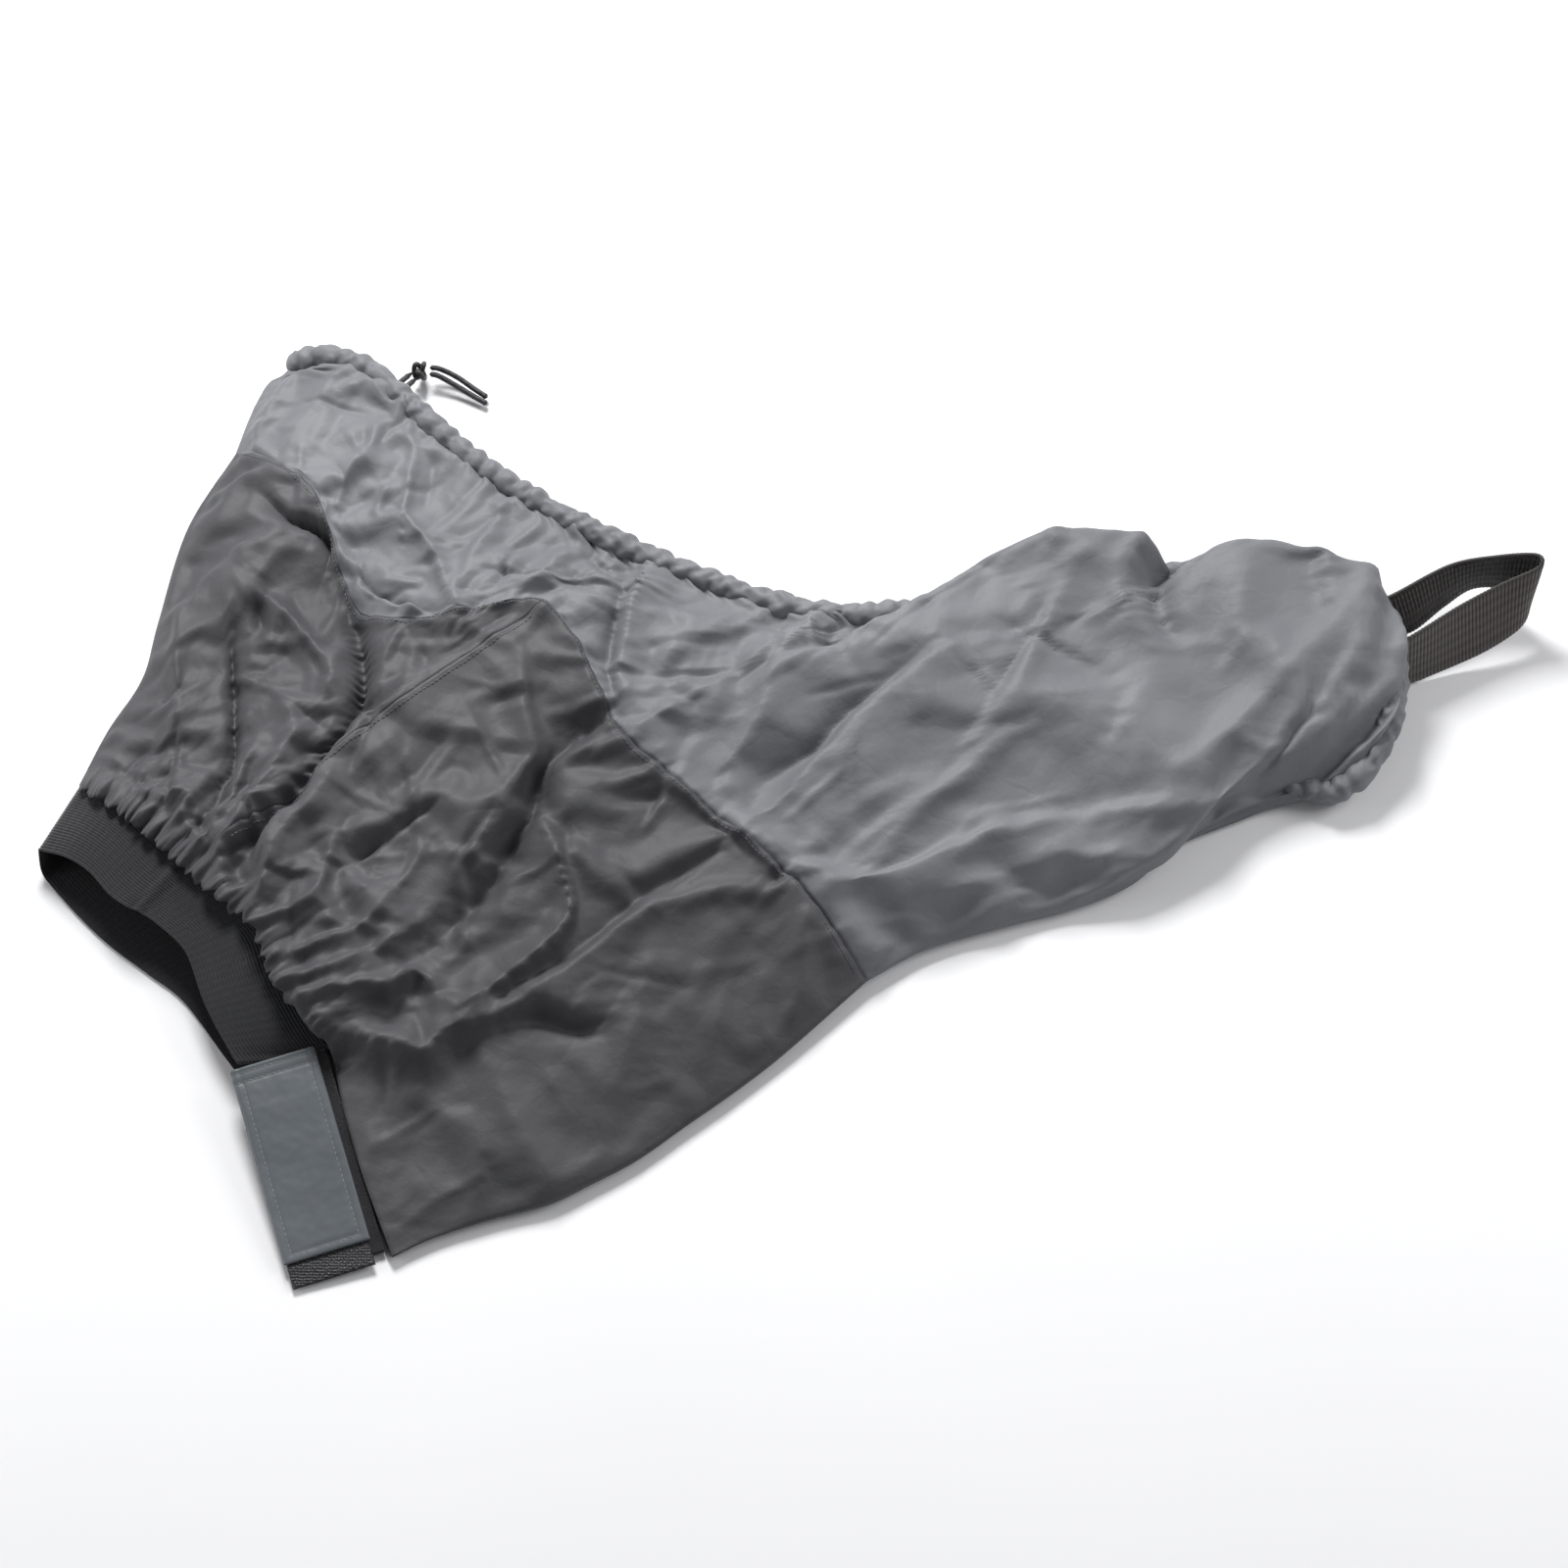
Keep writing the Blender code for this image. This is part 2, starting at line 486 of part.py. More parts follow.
def main():
    for old in list(bpy.data.objects):
        bpy.data.objects.remove(old)

    coated = material("coated_nylon", (0.190, 0.192, 0.205), 0.42)
    soft_nylon = material("tunnel_nylon", (0.085, 0.085, 0.095), 0.5)
    tab_nylon = material("tab_nylon", (0.118, 0.130, 0.141), 0.5)
    knitted = material("knitted_elastic", (0.030, 0.029, 0.034), 0.85)
    shock_cord = material("shock_cord", (0.016, 0.016, 0.018), 0.7)
    webbing = material("woven_webbing", (0.045, 0.040, 0.038), 0.8)
    hook = material("hook_tape", (0.018, 0.018, 0.022), 0.6)
    loop_pile = material("loop_tape", (0.014, 0.014, 0.016), 0.95)
    thread = material("bonded_thread", (0.040, 0.038, 0.040), 0.6)

    skirt = axis_empty("skirt", (0, 0, 0))
    seam_top = (SEAM_LEFT + SEAM_RIGHT) / 2
    seam_top[2] = CROWN_HEIGHT + CLOTH_WALL / 2
    tunnel_axis = axis_empty("tunnel_axis", seam_top, skirt)
    head, along, across, up = tab_frame()
    tab_axis = axis_empty("tab_axis", head + up * (TAB_WALL / 2), tunnel_axis)
    outward = np.array(KNOT_OUTWARD) * (CASING_DIAMETER / 2 + KNOT_LENGTH / 2 + CLEARANCE)
    knot_place = Vector(rim_ring([CORD_EXIT_STATION])[0] + outward + np.array((0, 0, KNOT_RISE)))
    drawcord_axis = axis_empty("drawcord_axis", knot_place, skirt)
    x, y = loop_start()
    loop_axis = axis_empty("grab_loop_axis", (x + BARTACK_LENGTH + GRAB_LOOP_ROOM, y, 0), skirt)

    make_deck(coated, skirt)
    make_rim(coated, shock_cord, skirt)
    make_drawcord(shock_cord, drawcord_axis, knot_place)
    make_tunnel(soft_nylon, tunnel_axis)
    make_elastic(knitted, tunnel_axis)
    make_loop_strip(loop_pile, tunnel_axis)
    make_tab(tab_nylon, hook, tab_axis)
    make_grab_loop(webbing, thread, loop_axis, skirt)
    stand_on_origin(skirt)


main()
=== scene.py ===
import math

import bmesh
import bpy
import numpy as np
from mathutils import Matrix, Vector


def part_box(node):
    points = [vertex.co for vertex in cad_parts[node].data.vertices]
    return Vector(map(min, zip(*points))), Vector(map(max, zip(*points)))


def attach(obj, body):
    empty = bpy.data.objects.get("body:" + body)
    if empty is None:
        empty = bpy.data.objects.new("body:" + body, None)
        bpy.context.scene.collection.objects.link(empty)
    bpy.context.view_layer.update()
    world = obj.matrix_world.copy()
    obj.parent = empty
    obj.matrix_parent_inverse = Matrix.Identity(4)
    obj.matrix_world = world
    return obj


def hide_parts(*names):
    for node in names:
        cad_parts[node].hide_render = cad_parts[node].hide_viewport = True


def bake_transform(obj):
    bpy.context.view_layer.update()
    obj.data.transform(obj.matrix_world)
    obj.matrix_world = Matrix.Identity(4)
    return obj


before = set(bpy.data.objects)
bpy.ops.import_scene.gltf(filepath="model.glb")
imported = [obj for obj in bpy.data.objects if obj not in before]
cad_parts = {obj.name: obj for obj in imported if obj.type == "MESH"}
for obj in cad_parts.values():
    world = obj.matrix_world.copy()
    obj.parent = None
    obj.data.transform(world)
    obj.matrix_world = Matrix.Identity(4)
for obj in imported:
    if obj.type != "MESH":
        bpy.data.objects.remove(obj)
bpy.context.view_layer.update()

# Places below are in millimetres on the skirt's own drawing. The drawing's zero is found from the
# stitched bar at the bow, whose low corner is at this place on it, in metres.
drawnBar = (0.3675, 0.07555, 0.0030)
shift = np.array(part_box("grab_loop_bartack")[0]) - drawnBar


def placed(rows):
    # drawing millimetres to frame metres
    return np.asarray(rows, float) / 1000 + shift


print("camera, floor and light")

camera = {
    "elevation": 60,          # degrees above the floor
    "distance": 2.1533,
    "lens": 85,
    "target": (-0.00892, 0.00257, 0.0002),
}
studio = {
    "floorColour": "fafafa",
    "skyColour": "f2f3f6",
    "skyStrength": 0.25,
    # name, place, aimed at, size, watts
    "softboxes": [
        ("overhead", (-0.40, 1.30, 1.3), (0, 0, 0), (0.6, 0.6), 44),
        ("leftSide", (-1.8, -0.1, 0.6), (0, 0, 0.03), (0.7, 0.9), 9),
        ("rightSide", (1.7, 0.3, 1.2), (0.1, 0, 0.03), (1.0, 1.0), 18),
    ],
}


def linearColour(hexColour, alpha=1.0):
    # sRGB hex digits to linear light
    parts = np.array([int(hexColour[i:i + 2], 16) for i in (0, 2, 4)]) / 255
    linear = np.where(parts <= 0.04045, parts / 12.92, ((parts + 0.055) / 1.055) ** 2.4)
    return (*linear.tolist(), alpha)


def aimedAt(thing, target):
    thing.rotation_euler = (Vector(target) - thing.location).to_track_quat("-Z", "Y").to_euler()


def makeStudio():
    lens = bpy.data.cameras.new("camera")
    lens.lens = camera["lens"]
    lens.sensor_width = 36
    view = bpy.data.objects.new("camera", lens)
    bpy.context.collection.objects.link(view)
    tilt = math.radians(camera["elevation"])
    away = Vector((0, -math.cos(tilt), math.sin(tilt))) * camera["distance"]
    view.location = Vector(camera["target"]) + away
    view.rotation_euler = (math.pi / 2 - tilt, 0, 0)
    bpy.context.scene.camera = view
    for name, spot, target, size, power in studio["softboxes"]:
        lamp = bpy.data.lights.new(name, "AREA")
        lamp.shape = "RECTANGLE"
        lamp.size, lamp.size_y = size
        lamp.energy = power
        made = bpy.data.objects.new(name, lamp)
        bpy.context.collection.objects.link(made)
        made.location = spot
        aimedAt(made, target)
    sky = bpy.data.worlds.new("paleRoom")
    sky.use_nodes = True
    sky.node_tree.nodes["Background"].inputs["Color"].default_value = linearColour(studio["skyColour"])
    sky.node_tree.nodes["Background"].inputs["Strength"].default_value = studio["skyStrength"]
    bpy.context.scene.world = sky
    bpy.context.scene.view_settings.view_transform = "Standard"


makeStudio()


def curveThrough(points, shares):
    # a smooth curve (Catmull-Rom) through the points, read at the given shares of its length
    points = np.asarray(points, float)
    ends = np.vstack((2 * points[0] - points[1], points, 2 * points[-1] - points[-2]))
    step = np.linspace(0, 1, 24, endpoint=False)[:, None]
    a, b, c, d = (ends[i:len(ends) - 3 + i][:, None, :] for i in range(4))
    run = 0.5 * (2 * b + (c - a) * step + (2 * a - 5 * b + 4 * c - d) * step ** 2
                 + (3 * b - a - 3 * c + d) * step ** 3)
    dense = np.vstack((run.reshape(-1, points.shape[1]), points[-1:]))
    walked = np.concatenate(([0], np.cumsum(np.linalg.norm(np.diff(dense, axis=0), axis=1))))
    wanted = np.clip(shares, 0, 1) * walked[-1]
    return np.stack([np.interp(wanted, walked, dense[:, k]) for k in range(dense.shape[1])], axis=-1)


def walkedAlong(path):
    return np.concatenate(([0], np.cumsum(np.linalg.norm(np.diff(path, axis=0), axis=1))))


def noise(x, y, seed):
    # gradient noise on a unit lattice, about -1 to 1: each corner has a fixed direction, joined smoothly
    i, j = np.floor(x), np.floor(y)
    u, v = x - i, y - j

    def corner(di, dj):
        turn = np.sin((i + di) * 127.1 + (j + dj) * 311.7 + seed * 74.7) * 43758.5453
        turn = (turn - np.floor(turn)) * 2 * np.pi
        return np.cos(turn) * (u - di) + np.sin(turn) * (v - dj)

    su, sv = u * u * u * (u * (u * 6 - 15) + 10), v * v * v * (v * (v * 6 - 15) + 10)
    low = corner(0, 0) * (1 - su) + corner(1, 0) * su
    high = corner(0, 1) * (1 - su) + corner(1, 1) * su
    return 1.5 * (low * (1 - sv) + high * sv)


def smoothStep(low, high, value):
    share = np.clip((value - low) / (high - low), 0, 1)
    return share * share * (3 - 2 * share)


def gridFaces(rows, columns, closed=False):
    # quads between neighbouring rows; closed joins the last column to the first
    index = np.arange(rows * columns).reshape(rows, columns)
    if closed:
        index = np.hstack((index, index[:, :1]))
    corners = (index[:-1, :-1], index[:-1, 1:], index[1:, 1:], index[1:, :-1])
    return np.stack(corners, axis=-1).reshape(-1, 4)


def meshObject(name, points, faces, finish, uv=None):
    # points and quads into one smooth mesh object; uv holds a place for each point
    mesh = bpy.data.meshes.new(name)
    points, faces = np.asarray(points, np.float32).reshape(-1, 3), np.asarray(faces, np.int32)
    mesh.vertices.add(len(points))
    mesh.vertices.foreach_set("co", points.ravel())
    mesh.loops.add(faces.size)
    mesh.loops.foreach_set("vertex_index", faces.ravel())
    mesh.polygons.add(len(faces))
    mesh.polygons.foreach_set("loop_start", np.arange(0, faces.size, faces.shape[1], dtype=np.int32))
    if uv is not None:
        layer = mesh.uv_layers.new(name="clothMap")
        layer.uv.foreach_set("vector", np.asarray(uv, np.float32).reshape(-1, 2)[faces.ravel()].ravel())
    mesh.update(calc_edges=True)
    mesh.validate()
    mesh.shade_smooth()
    mesh.materials.append(finish)
    made = bpy.data.objects.new(name, mesh)
    bpy.context.collection.objects.link(made)
    return made


def gridUv(grid):
    # metres along the rows and across them, so that a pattern keeps its real size on the cloth
    across = np.linalg.norm(np.diff(grid, axis=1), axis=-1).mean(axis=0)
    along = np.linalg.norm(np.diff(grid, axis=0), axis=-1).mean(axis=1)
    u = np.concatenate(([0], np.cumsum(across)))
    v = np.concatenate(([0], np.cumsum(along)))
    return np.stack(np.broadcast_arrays(u[None, :], v[:, None]), axis=-1)


def gridObject(name, grid, finish, closed=False):
    rows, columns = grid.shape[:2]
    return meshObject(name, grid, gridFaces(rows, columns, closed), finish, gridUv(grid))


def pathFrames(path, up=(0, 0, 1)):
    # unit directions at each place of a path: along it, sideways to the right, and up
    along = np.gradient(path, axis=0)
    along /= np.linalg.norm(along, axis=1)[:, None]
    side = np.cross(along, np.broadcast_to(up, along.shape))
    side /= np.linalg.norm(side, axis=1)[:, None]
    return along, side, np.cross(side, along)


def tubeGrid(path, radius, around=12, tips=0.0):
    # a round profile carried along the path; tips is how far from an end it starts to round down to a point
    _, side, up = pathFrames(path)
    turn = np.linspace(0, 2 * np.pi, around, endpoint=False)
    reach = np.broadcast_to(radius, (len(path), around)).copy()
    if tips:
        walked = walkedAlong(path)
        near = np.clip(np.minimum(walked, walked[-1] - walked) / tips, 0, 1)
        reach *= np.sqrt(np.clip(1 - (1 - near) ** 2, 1e-4, 1))[:, None]
    outward = np.cos(turn)[:, None] * side[:, None] + np.sin(turn)[:, None] * up[:, None]
    return path[:, None] + reach[..., None] * outward


def addModifier(thing, kind, **settings):
    made = thing.modifiers.new(kind.lower(), kind)
    for name, value in settings.items():
        setattr(made, name, value)
    return made


def thicken(thing, wall, offset=0.0):
    addModifier(thing, "SOLIDIFY", thickness=wall, offset=offset, use_even_offset=False, use_rim=True)


def finer(thing, levels=1):
    addModifier(thing, "SUBSURF", levels=levels, render_levels=levels)


def addNode(tree, kind, settings=(), **links):
    # one node; settings are its own values, and links are its inputs, as sockets or plain values; i3 is
    # input number 3, and an underscore stands for a space
    made = tree.nodes.new(kind)
    for name, value in dict(settings).items():
        setattr(made, name, value)
    for name, value in links.items():
        numbered = name[0] == "i" and name[1:].isdigit()
        socket = made.inputs[int(name[1:]) if numbered else name.replace("_", " ")]
        if isinstance(value, bpy.types.NodeSocket):
            tree.links.new(value, socket)
        else:
            socket.default_value = value
    return made


def newMaterial(name, colour, roughness, **sockets):
    made = bpy.data.materials.new(name)
    made.use_nodes = True
    shader = made.node_tree.nodes["Principled BSDF"]
    shader.inputs["Base Color"].default_value = linearColour(colour)
    shader.inputs["Roughness"].default_value = roughness
    for socket, value in sockets.items():
        shader.inputs[socket.replace("_", " ")].default_value = value
    return made, made.node_tree, shader


def dress(tree, shader, share, dark, light, **relief):
    # the shader's colour, from dark to light by the share, and its bump where relief gives a height
    colour = addNode(tree, "ShaderNodeMix", {"data_type": "RGBA"}, i0=share, i6=linearColour(dark),
                     i7=linearColour(light))
    tree.links.new(colour.outputs[2], shader.inputs["Base Color"])
    if relief:
        bump = addNode(tree, "ShaderNodeBump", **relief)
        tree.links.new(bump.outputs["Normal"], shader.inputs["Normal"])


# Nylon taffeta. Its filament yarns give a satin sheen that is broad and soft, and a hard crease in it stays
# as a thin straight line. The coated one is paler and a little glossier than the plain one.
nylons = {
    "coatedNylon": {"dark": "646569", "light": "75767a", "roughness": 0.60,
                    "crinkleMm": 7.0, "crinkleDepth": 0.00035},
    "plainNylon": {"dark": "3f3f42", "light": "4f4f52", "roughness": 0.62,
                   "crinkleMm": 7.5, "crinkleDepth": 0.0004},
    "tabNylon": {"dark": "54595c", "light": "60656a", "roughness": 0.4,
                 "crinkleMm": 22.0, "crinkleDepth": 0.0003},
}
# real yarns are 0.15 mm apart; they are drawn much coarser, and faint, so that a render can show them
yarnMm = 5.655
# a wave texture at this scale repeats once in each millimetre
waveScale = 1000 * 2 * math.pi / 20


def nylonMaterial(name):
    spec = nylons[name]
    made, tree, shader = newMaterial(name, spec["light"], spec["roughness"], Sheen_Weight=0.05,
                                     Sheen_Roughness=0.4, Specular_IOR_Level=0.38)
    spot = addNode(tree, "ShaderNodeTexCoord").outputs["Object"]
    # slow clouds between the two colours
    clouds = addNode(tree, "ShaderNodeTexNoise", Vector=spot, Scale=9.0, Detail=3.0)
    share = addNode(tree, "ShaderNodeMapRange", Value=clouds.outputs[0], From_Min=0.3, From_Max=0.7)
    # crinkle: the edges of bent cells, and a finer noise
    bent = addNode(tree, "ShaderNodeTexNoise", Vector=spot, Scale=60.0, Detail=2.0)
    warped = addNode(tree, "ShaderNodeMix", {"data_type": "VECTOR"}, i0=0.012, i4=spot,
                     i5=bent.outputs["Color"])
    cells = addNode(tree, "ShaderNodeTexVoronoi", {"feature": "DISTANCE_TO_EDGE"}, Vector=warped.outputs[1],
                    Scale=1000 / (spec["crinkleMm"] * 3))
    crease = addNode(tree, "ShaderNodeMapRange", Value=cells.outputs["Distance"], From_Max=0.35)
    fine = addNode(tree, "ShaderNodeTexNoise", Vector=spot, Scale=1000 / spec["crinkleMm"], Detail=3.0,
                   Roughness=0.6)
    both = addNode(tree, "ShaderNodeMath", {"operation": "ADD"}, i0=crease.outputs[0], i1=fine.outputs[0])
    crinkled = addNode(tree, "ShaderNodeBump", Height=both.outputs[0], Distance=spec["crinkleDepth"],
                       Strength=0.8)
    # weave: warp times weft, along the cloth's own map
    cloth = addNode(tree, "ShaderNodeUVMap", {"uv_map": "clothMap"}).outputs[0]
    warp, weft = [addNode(tree, "ShaderNodeTexWave", {"bands_direction": way}, Vector=cloth,
                          Scale=waveScale / yarnMm).outputs[1] for way in "XY"]
    weave = addNode(tree, "ShaderNodeMath", {"operation": "MULTIPLY"}, i0=warp, i1=weft)
    dress(tree, shader, share.outputs[0], spec["dark"], spec["light"], Height=weave.outputs[0],
          Distance=0.00003, Strength=0.35, Normal=crinkled.outputs["Normal"])
    return made


# Knitted elastic. Textured polyester over rubber is matt and almost black; its ribs are drawn in the mesh,
# and the knit's small loops give it a fine grain. They are drawn coarser than the real ones, to show at all.
elasticFinish = {"dark": "141317", "light": "201f24", "grainMm": 1.6, "loopMm": 5.027}


def elasticMaterial():
    made, tree, shader = newMaterial("knittedElastic", elasticFinish["light"], 0.82, Sheen_Weight=0.25,
                                     Specular_IOR_Level=0.3)
    cloth = addNode(tree, "ShaderNodeUVMap", {"uv_map": "clothMap"}).outputs[0]
    grain = addNode(tree, "ShaderNodeTexNoise", Vector=cloth, Scale=1000 / elasticFinish["grainMm"],
                    Detail=2.0).outputs[0]
    share = addNode(tree, "ShaderNodeMapRange", Value=grain, From_Min=0.3, From_Max=0.7)
    loops = addNode(tree, "ShaderNodeTexWave", {"bands_direction": "X"}, Vector=cloth,
                    Scale=waveScale / elasticFinish["loopMm"])
    height = addNode(tree, "ShaderNodeMath", {"operation": "ADD"}, i0=grain, i1=loops.outputs[1])
    dress(tree, shader, share.outputs[0], elasticFinish["dark"], elasticFinish["light"],
          Height=height.outputs[0], Distance=0.00012, Strength=0.7)
    return made


# Woven polypropylene webbing. Its thick yarns get a painted highlight on top of each rib and painted shade,
# near black, between ribs.
# Groups of yarns are drawn, since single ones, 0.9 mm apart, are too fine to show.
# dark is the painted shade between ribs and light the painted highlight on rib tops; the yarns' own bands
# mix in too
webbingFinish = {"dark": "1d1a19", "light": "4c4643", "yarnMm": 5.655}


def webbingMaterial():
    made, tree, shader = newMaterial("wovenWebbing", webbingFinish["light"], 0.62, Sheen_Weight=0.2)
    # the rib height paints the colour: a painted highlight on the rib tops and painted shade between the
    # ribs
    rib = addNode(tree, "ShaderNodeAttribute", {"attribute_name": "ribHeight"})
    paintedRibShading = addNode(tree, "ShaderNodeMapRange", Value=rib.outputs["Fac"], To_Min=-0.1, To_Max=0.75)
    cloth = addNode(tree, "ShaderNodeUVMap", {"uv_map": "clothMap"}).outputs[0]
    yarns = addNode(tree, "ShaderNodeTexWave", {"bands_direction": "Y"}, Vector=cloth,
                    Scale=waveScale / webbingFinish["yarnMm"], Distortion=0.6, Detail=1.0).outputs[1]
    share = addNode(tree, "ShaderNodeMath", {"operation": "MULTIPLY_ADD"}, i0=yarns, i1=0.3,
                    i2=paintedRibShading.outputs[0])
    dress(tree, shader, share.outputs[0], webbingFinish["dark"], webbingFinish["light"],
          Height=yarns, Distance=0.0002, Strength=0.7)
    return made


# Hook tape and loop tape. Hooks are moulded nylon on a woven base, black with small bright points; loops
# are a brushed pile that looks black and has no shine.
tapeFinish = {
    "hookMm": 1.6, "hookDark": "0a0a0c", "hookLight": "252529",
    "pileDark": "141416", "pileLight": "252529",
}


def hookMaterial():
    made, tree, shader = newMaterial("hookTape", tapeFinish["hookLight"], 0.5)
    spot = addNode(tree, "ShaderNodeTexCoord").outputs["Object"]
    dots = addNode(tree, "ShaderNodeTexVoronoi", {"feature": "F1"}, Vector=spot,
                   Scale=1000 / tapeFinish["hookMm"], Randomness=0.35).outputs["Distance"]
    share = addNode(tree, "ShaderNodeMapRange", Value=dots, From_Min=0.2, From_Max=0.6)
    dress(tree, shader, share.outputs[0], tapeFinish["hookDark"], tapeFinish["hookLight"],
          Height=dots, Distance=0.0007, Strength=1.0)
    return made


def pileMaterial():
    made, tree, shader = newMaterial("loopTape", tapeFinish["pileLight"], 0.95, Sheen_Weight=0.3)
    spot = addNode(tree, "ShaderNodeTexCoord").outputs["Object"]
    fuzz = addNode(tree, "ShaderNodeTexNoise", Vector=spot, Scale=900.0, Detail=3.0).outputs[0]
    share = addNode(tree, "ShaderNodeMapRange", Value=fuzz, From_Min=0.3, From_Max=0.7)
    dress(tree, shader, share.outputs[0], tapeFinish["pileDark"], tapeFinish["pileLight"],
          Height=fuzz, Distance=0.0006, Strength=1.0)
    return made


# Shock cord. A braided polyester sleeve over rubber: black diamonds and a dull shine. Its strands are drawn
# coarser than the real ones, to show at all.
cordFinish = {"dark": "0e0e10", "light": "2c2b2f", "strandMm": 6.912, "strandAngle": 0.8}


def cordMaterial():
    made, tree, shader = newMaterial("braidedShockCord", "1b1a1c", 0.55, Sheen_Weight=0.15)
    cloth = addNode(tree, "ShaderNodeUVMap", {"uv_map": "clothMap"}).outputs[0]
    strands = []
    for angle in (cordFinish["strandAngle"], -cordFinish["strandAngle"]):
        turned = addNode(tree, "ShaderNodeMapping", Vector=cloth, Rotation=(0, 0, angle))
        strands.append(addNode(tree, "ShaderNodeTexWave", Vector=turned.outputs[0],
                               Scale=waveScale / cordFinish["strandMm"]).outputs[1])
    braid = addNode(tree, "ShaderNodeMath", {"operation": "MAXIMUM"}, i0=strands[0], i1=strands[1])
    dress(tree, shader, braid.outputs[0], cordFinish["dark"], cordFinish["light"], Height=braid.outputs[0],
          Distance=0.0003, Strength=0.8)
    return made


def threadMaterial(name, dark, light):
    # bonded nylon thread: round, twisted and slightly glossy, a shade paler than the cloth it sits on
    made, tree, shader = newMaterial(name, light, 0.45)
    spot = addNode(tree, "ShaderNodeTexCoord").outputs["Object"]
    ply = addNode(tree, "ShaderNodeTexNoise", Vector=spot, Scale=2500.0, Detail=1.0)
    dress(tree, shader, ply.outputs[0], dark, light)
    return made


def floorMaterial():
    # painted board: pale, matt, with a very faint mottle
    made, tree, shader = newMaterial("paleBoard", studio["floorColour"], 0.8)
    spot = addNode(tree, "ShaderNodeTexCoord").outputs["Object"]
    mottle = addNode(tree, "ShaderNodeTexNoise", Vector=spot, Scale=3.0, Detail=2.0)
    dress(tree, shader, mottle.outputs[0], "f0f0f1", "f6f6f7")
    return made


finishes = {name: nylonMaterial(name) for name in nylons}
finishes["knittedElastic"] = elasticMaterial()
finishes["wovenWebbing"] = webbingMaterial()
finishes["hookTape"] = hookMaterial()
finishes["loopTape"] = pileMaterial()
finishes["shockCord"] = cordMaterial()
finishes["deckThread"] = threadMaterial("deckThread", "4a4a4e", "77787d")
finishes["tabThread"] = threadMaterial("tabThread", "5c6266", "9aa0a4")
finishes["barThread"] = threadMaterial("barThread", "232225", "3c3a3d")

floorPoints = np.array([(-4, -4, 0), (4, -4, 0), (4, 4, 0), (-4, 4, 0)], float) - (0, 0, 0.0002)
floor = meshObject("floor", floorPoints, np.array([[0, 1, 2, 3]]), floorMaterial())

print("drawcord")

cord = {
    "diameter": 0.0034,
    # places along each tail from the knot's middle, in millimetres; side is which of the two it is
    "tail": lambda side: [(5.65, side, 0), (10, side * 1.1, -0.6), (16, side * 1.3 - 2, -2.2),
                          (24, side * 1.4 - 6, -4.2), (33, side * 1.2 - 12, -5.8), (42, side - 18, -6.6)],
    "hiddenLength": 0.060,    # bungee that comes out of the hem when the knot is pulled
    "around": 14,
    "strandLength": 0.0009,   # how fast the braid's strands turn along the cord
    "frayed": 0.003,          # metres of loosened end
    "endAside": 0.0019,       # half the distance between the two ends that come out of the hem
}
pullAxis = np.array((0.697086, 0.717003, 0.0))
knotPlace = (np.array(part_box("bungee_knot")[0]) + np.array(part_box("bungee_knot")[1])) / 2


def makeCord():
    radius = cord["diameter"] / 2
    tails = []
    for name, side in (("drawcordTailA", 2.4), ("drawcordTailB", -2.4)):
        path = curveThrough(np.array(cord["tail"](side)) / 1000 + knotPlace, np.linspace(0, 1, 33))
        walked = walkedAlong(path)
        turn = 3 * np.linspace(0, 2 * np.pi, cord["around"], endpoint=False)[None]
        run = walked[:, None] / cord["strandLength"]
        braid = 1 + 0.05 * np.sin(turn + run) * np.sin(turn - run)
        frayed = smoothStep(walked[-1] - cord["frayed"], walked[-1], walked)[:, None]
        grid = tubeGrid(path, radius * braid * (1 + 0.12 * frayed), cord["around"], tips=0.0012)
        made = gridObject(name, grid[:, ::-1], finishes["shockCord"], closed=True)
        capEnds(made)
        tails.append((made, path, walked[-1]))
    # the knot: a trefoil line, sin t + 2 sin 2t and cos t - 2 cos 2t, pressed to the knot's own box
    t = np.linspace(0, 2 * np.pi, 97)[:-1] + 0.4
    line = np.stack((np.cos(t) - 2 * np.cos(2 * t), np.sin(t) + 2 * np.sin(2 * t), -np.sin(3 * t) * 1.5),
                    axis=1)
    low, high = (np.array(c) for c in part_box("bungee_knot"))
    half = (high - low) / 2 - radius * 0.9
    line = line / np.abs(line).max(axis=0) * half + knotPlace
    loop = np.vstack((line[-2:], line, line[:3]))
    grid = tubeGrid(loop, radius * 0.95, 12)[2:-2]
    knot = gridObject("drawcordKnot", grid[:-1, ::-1], finishes["shockCord"], closed=True)
    joinRing(knot)
    inward = np.linspace(0, 1, 12)[:, None]
    stubs = []
    for name, side in (("bungeeEndA", 1), ("bungeeEndB", -1)):
        across = np.array((-pullAxis[1], pullAxis[0], 0)) * side * cord["endAside"]
        run = 0.003 + cord["hiddenLength"] * inward
        path = knotPlace + across - pullAxis * run + (0, 0, 0.0012 * side)
        grid = tubeGrid(path, radius, tips=0.001)
        stub = gridObject(name, grid[:, ::-1], finishes["shockCord"], closed=True)
        capEnds(stub)
        stubs.append(stub)
    return tails, knot, stubs


def capEnds(thing):
    # closes the two open ends of a tube with one face each
    mesh = thing.data
    work = bmesh.new()
    work.from_mesh(mesh)
    bmesh.ops.holes_fill(work, edges=[edge for edge in work.edges if edge.is_boundary], sides=0)
    bmesh.ops.recalc_face_normals(work, faces=work.faces)
    work.to_mesh(mesh)
    work.free()
    mesh.shade_smooth()


def joinRing(thing):
    # joins a tube's last row to its first
    work = bmesh.new()
    work.from_mesh(thing.data)
    bmesh.ops.bridge_loops(work, edges=[edge for edge in work.edges if edge.is_boundary])
    bmesh.ops.recalc_face_normals(work, faces=work.faces)
    work.to_mesh(thing.data)
    work.free()
    thing.data.shade_smooth()


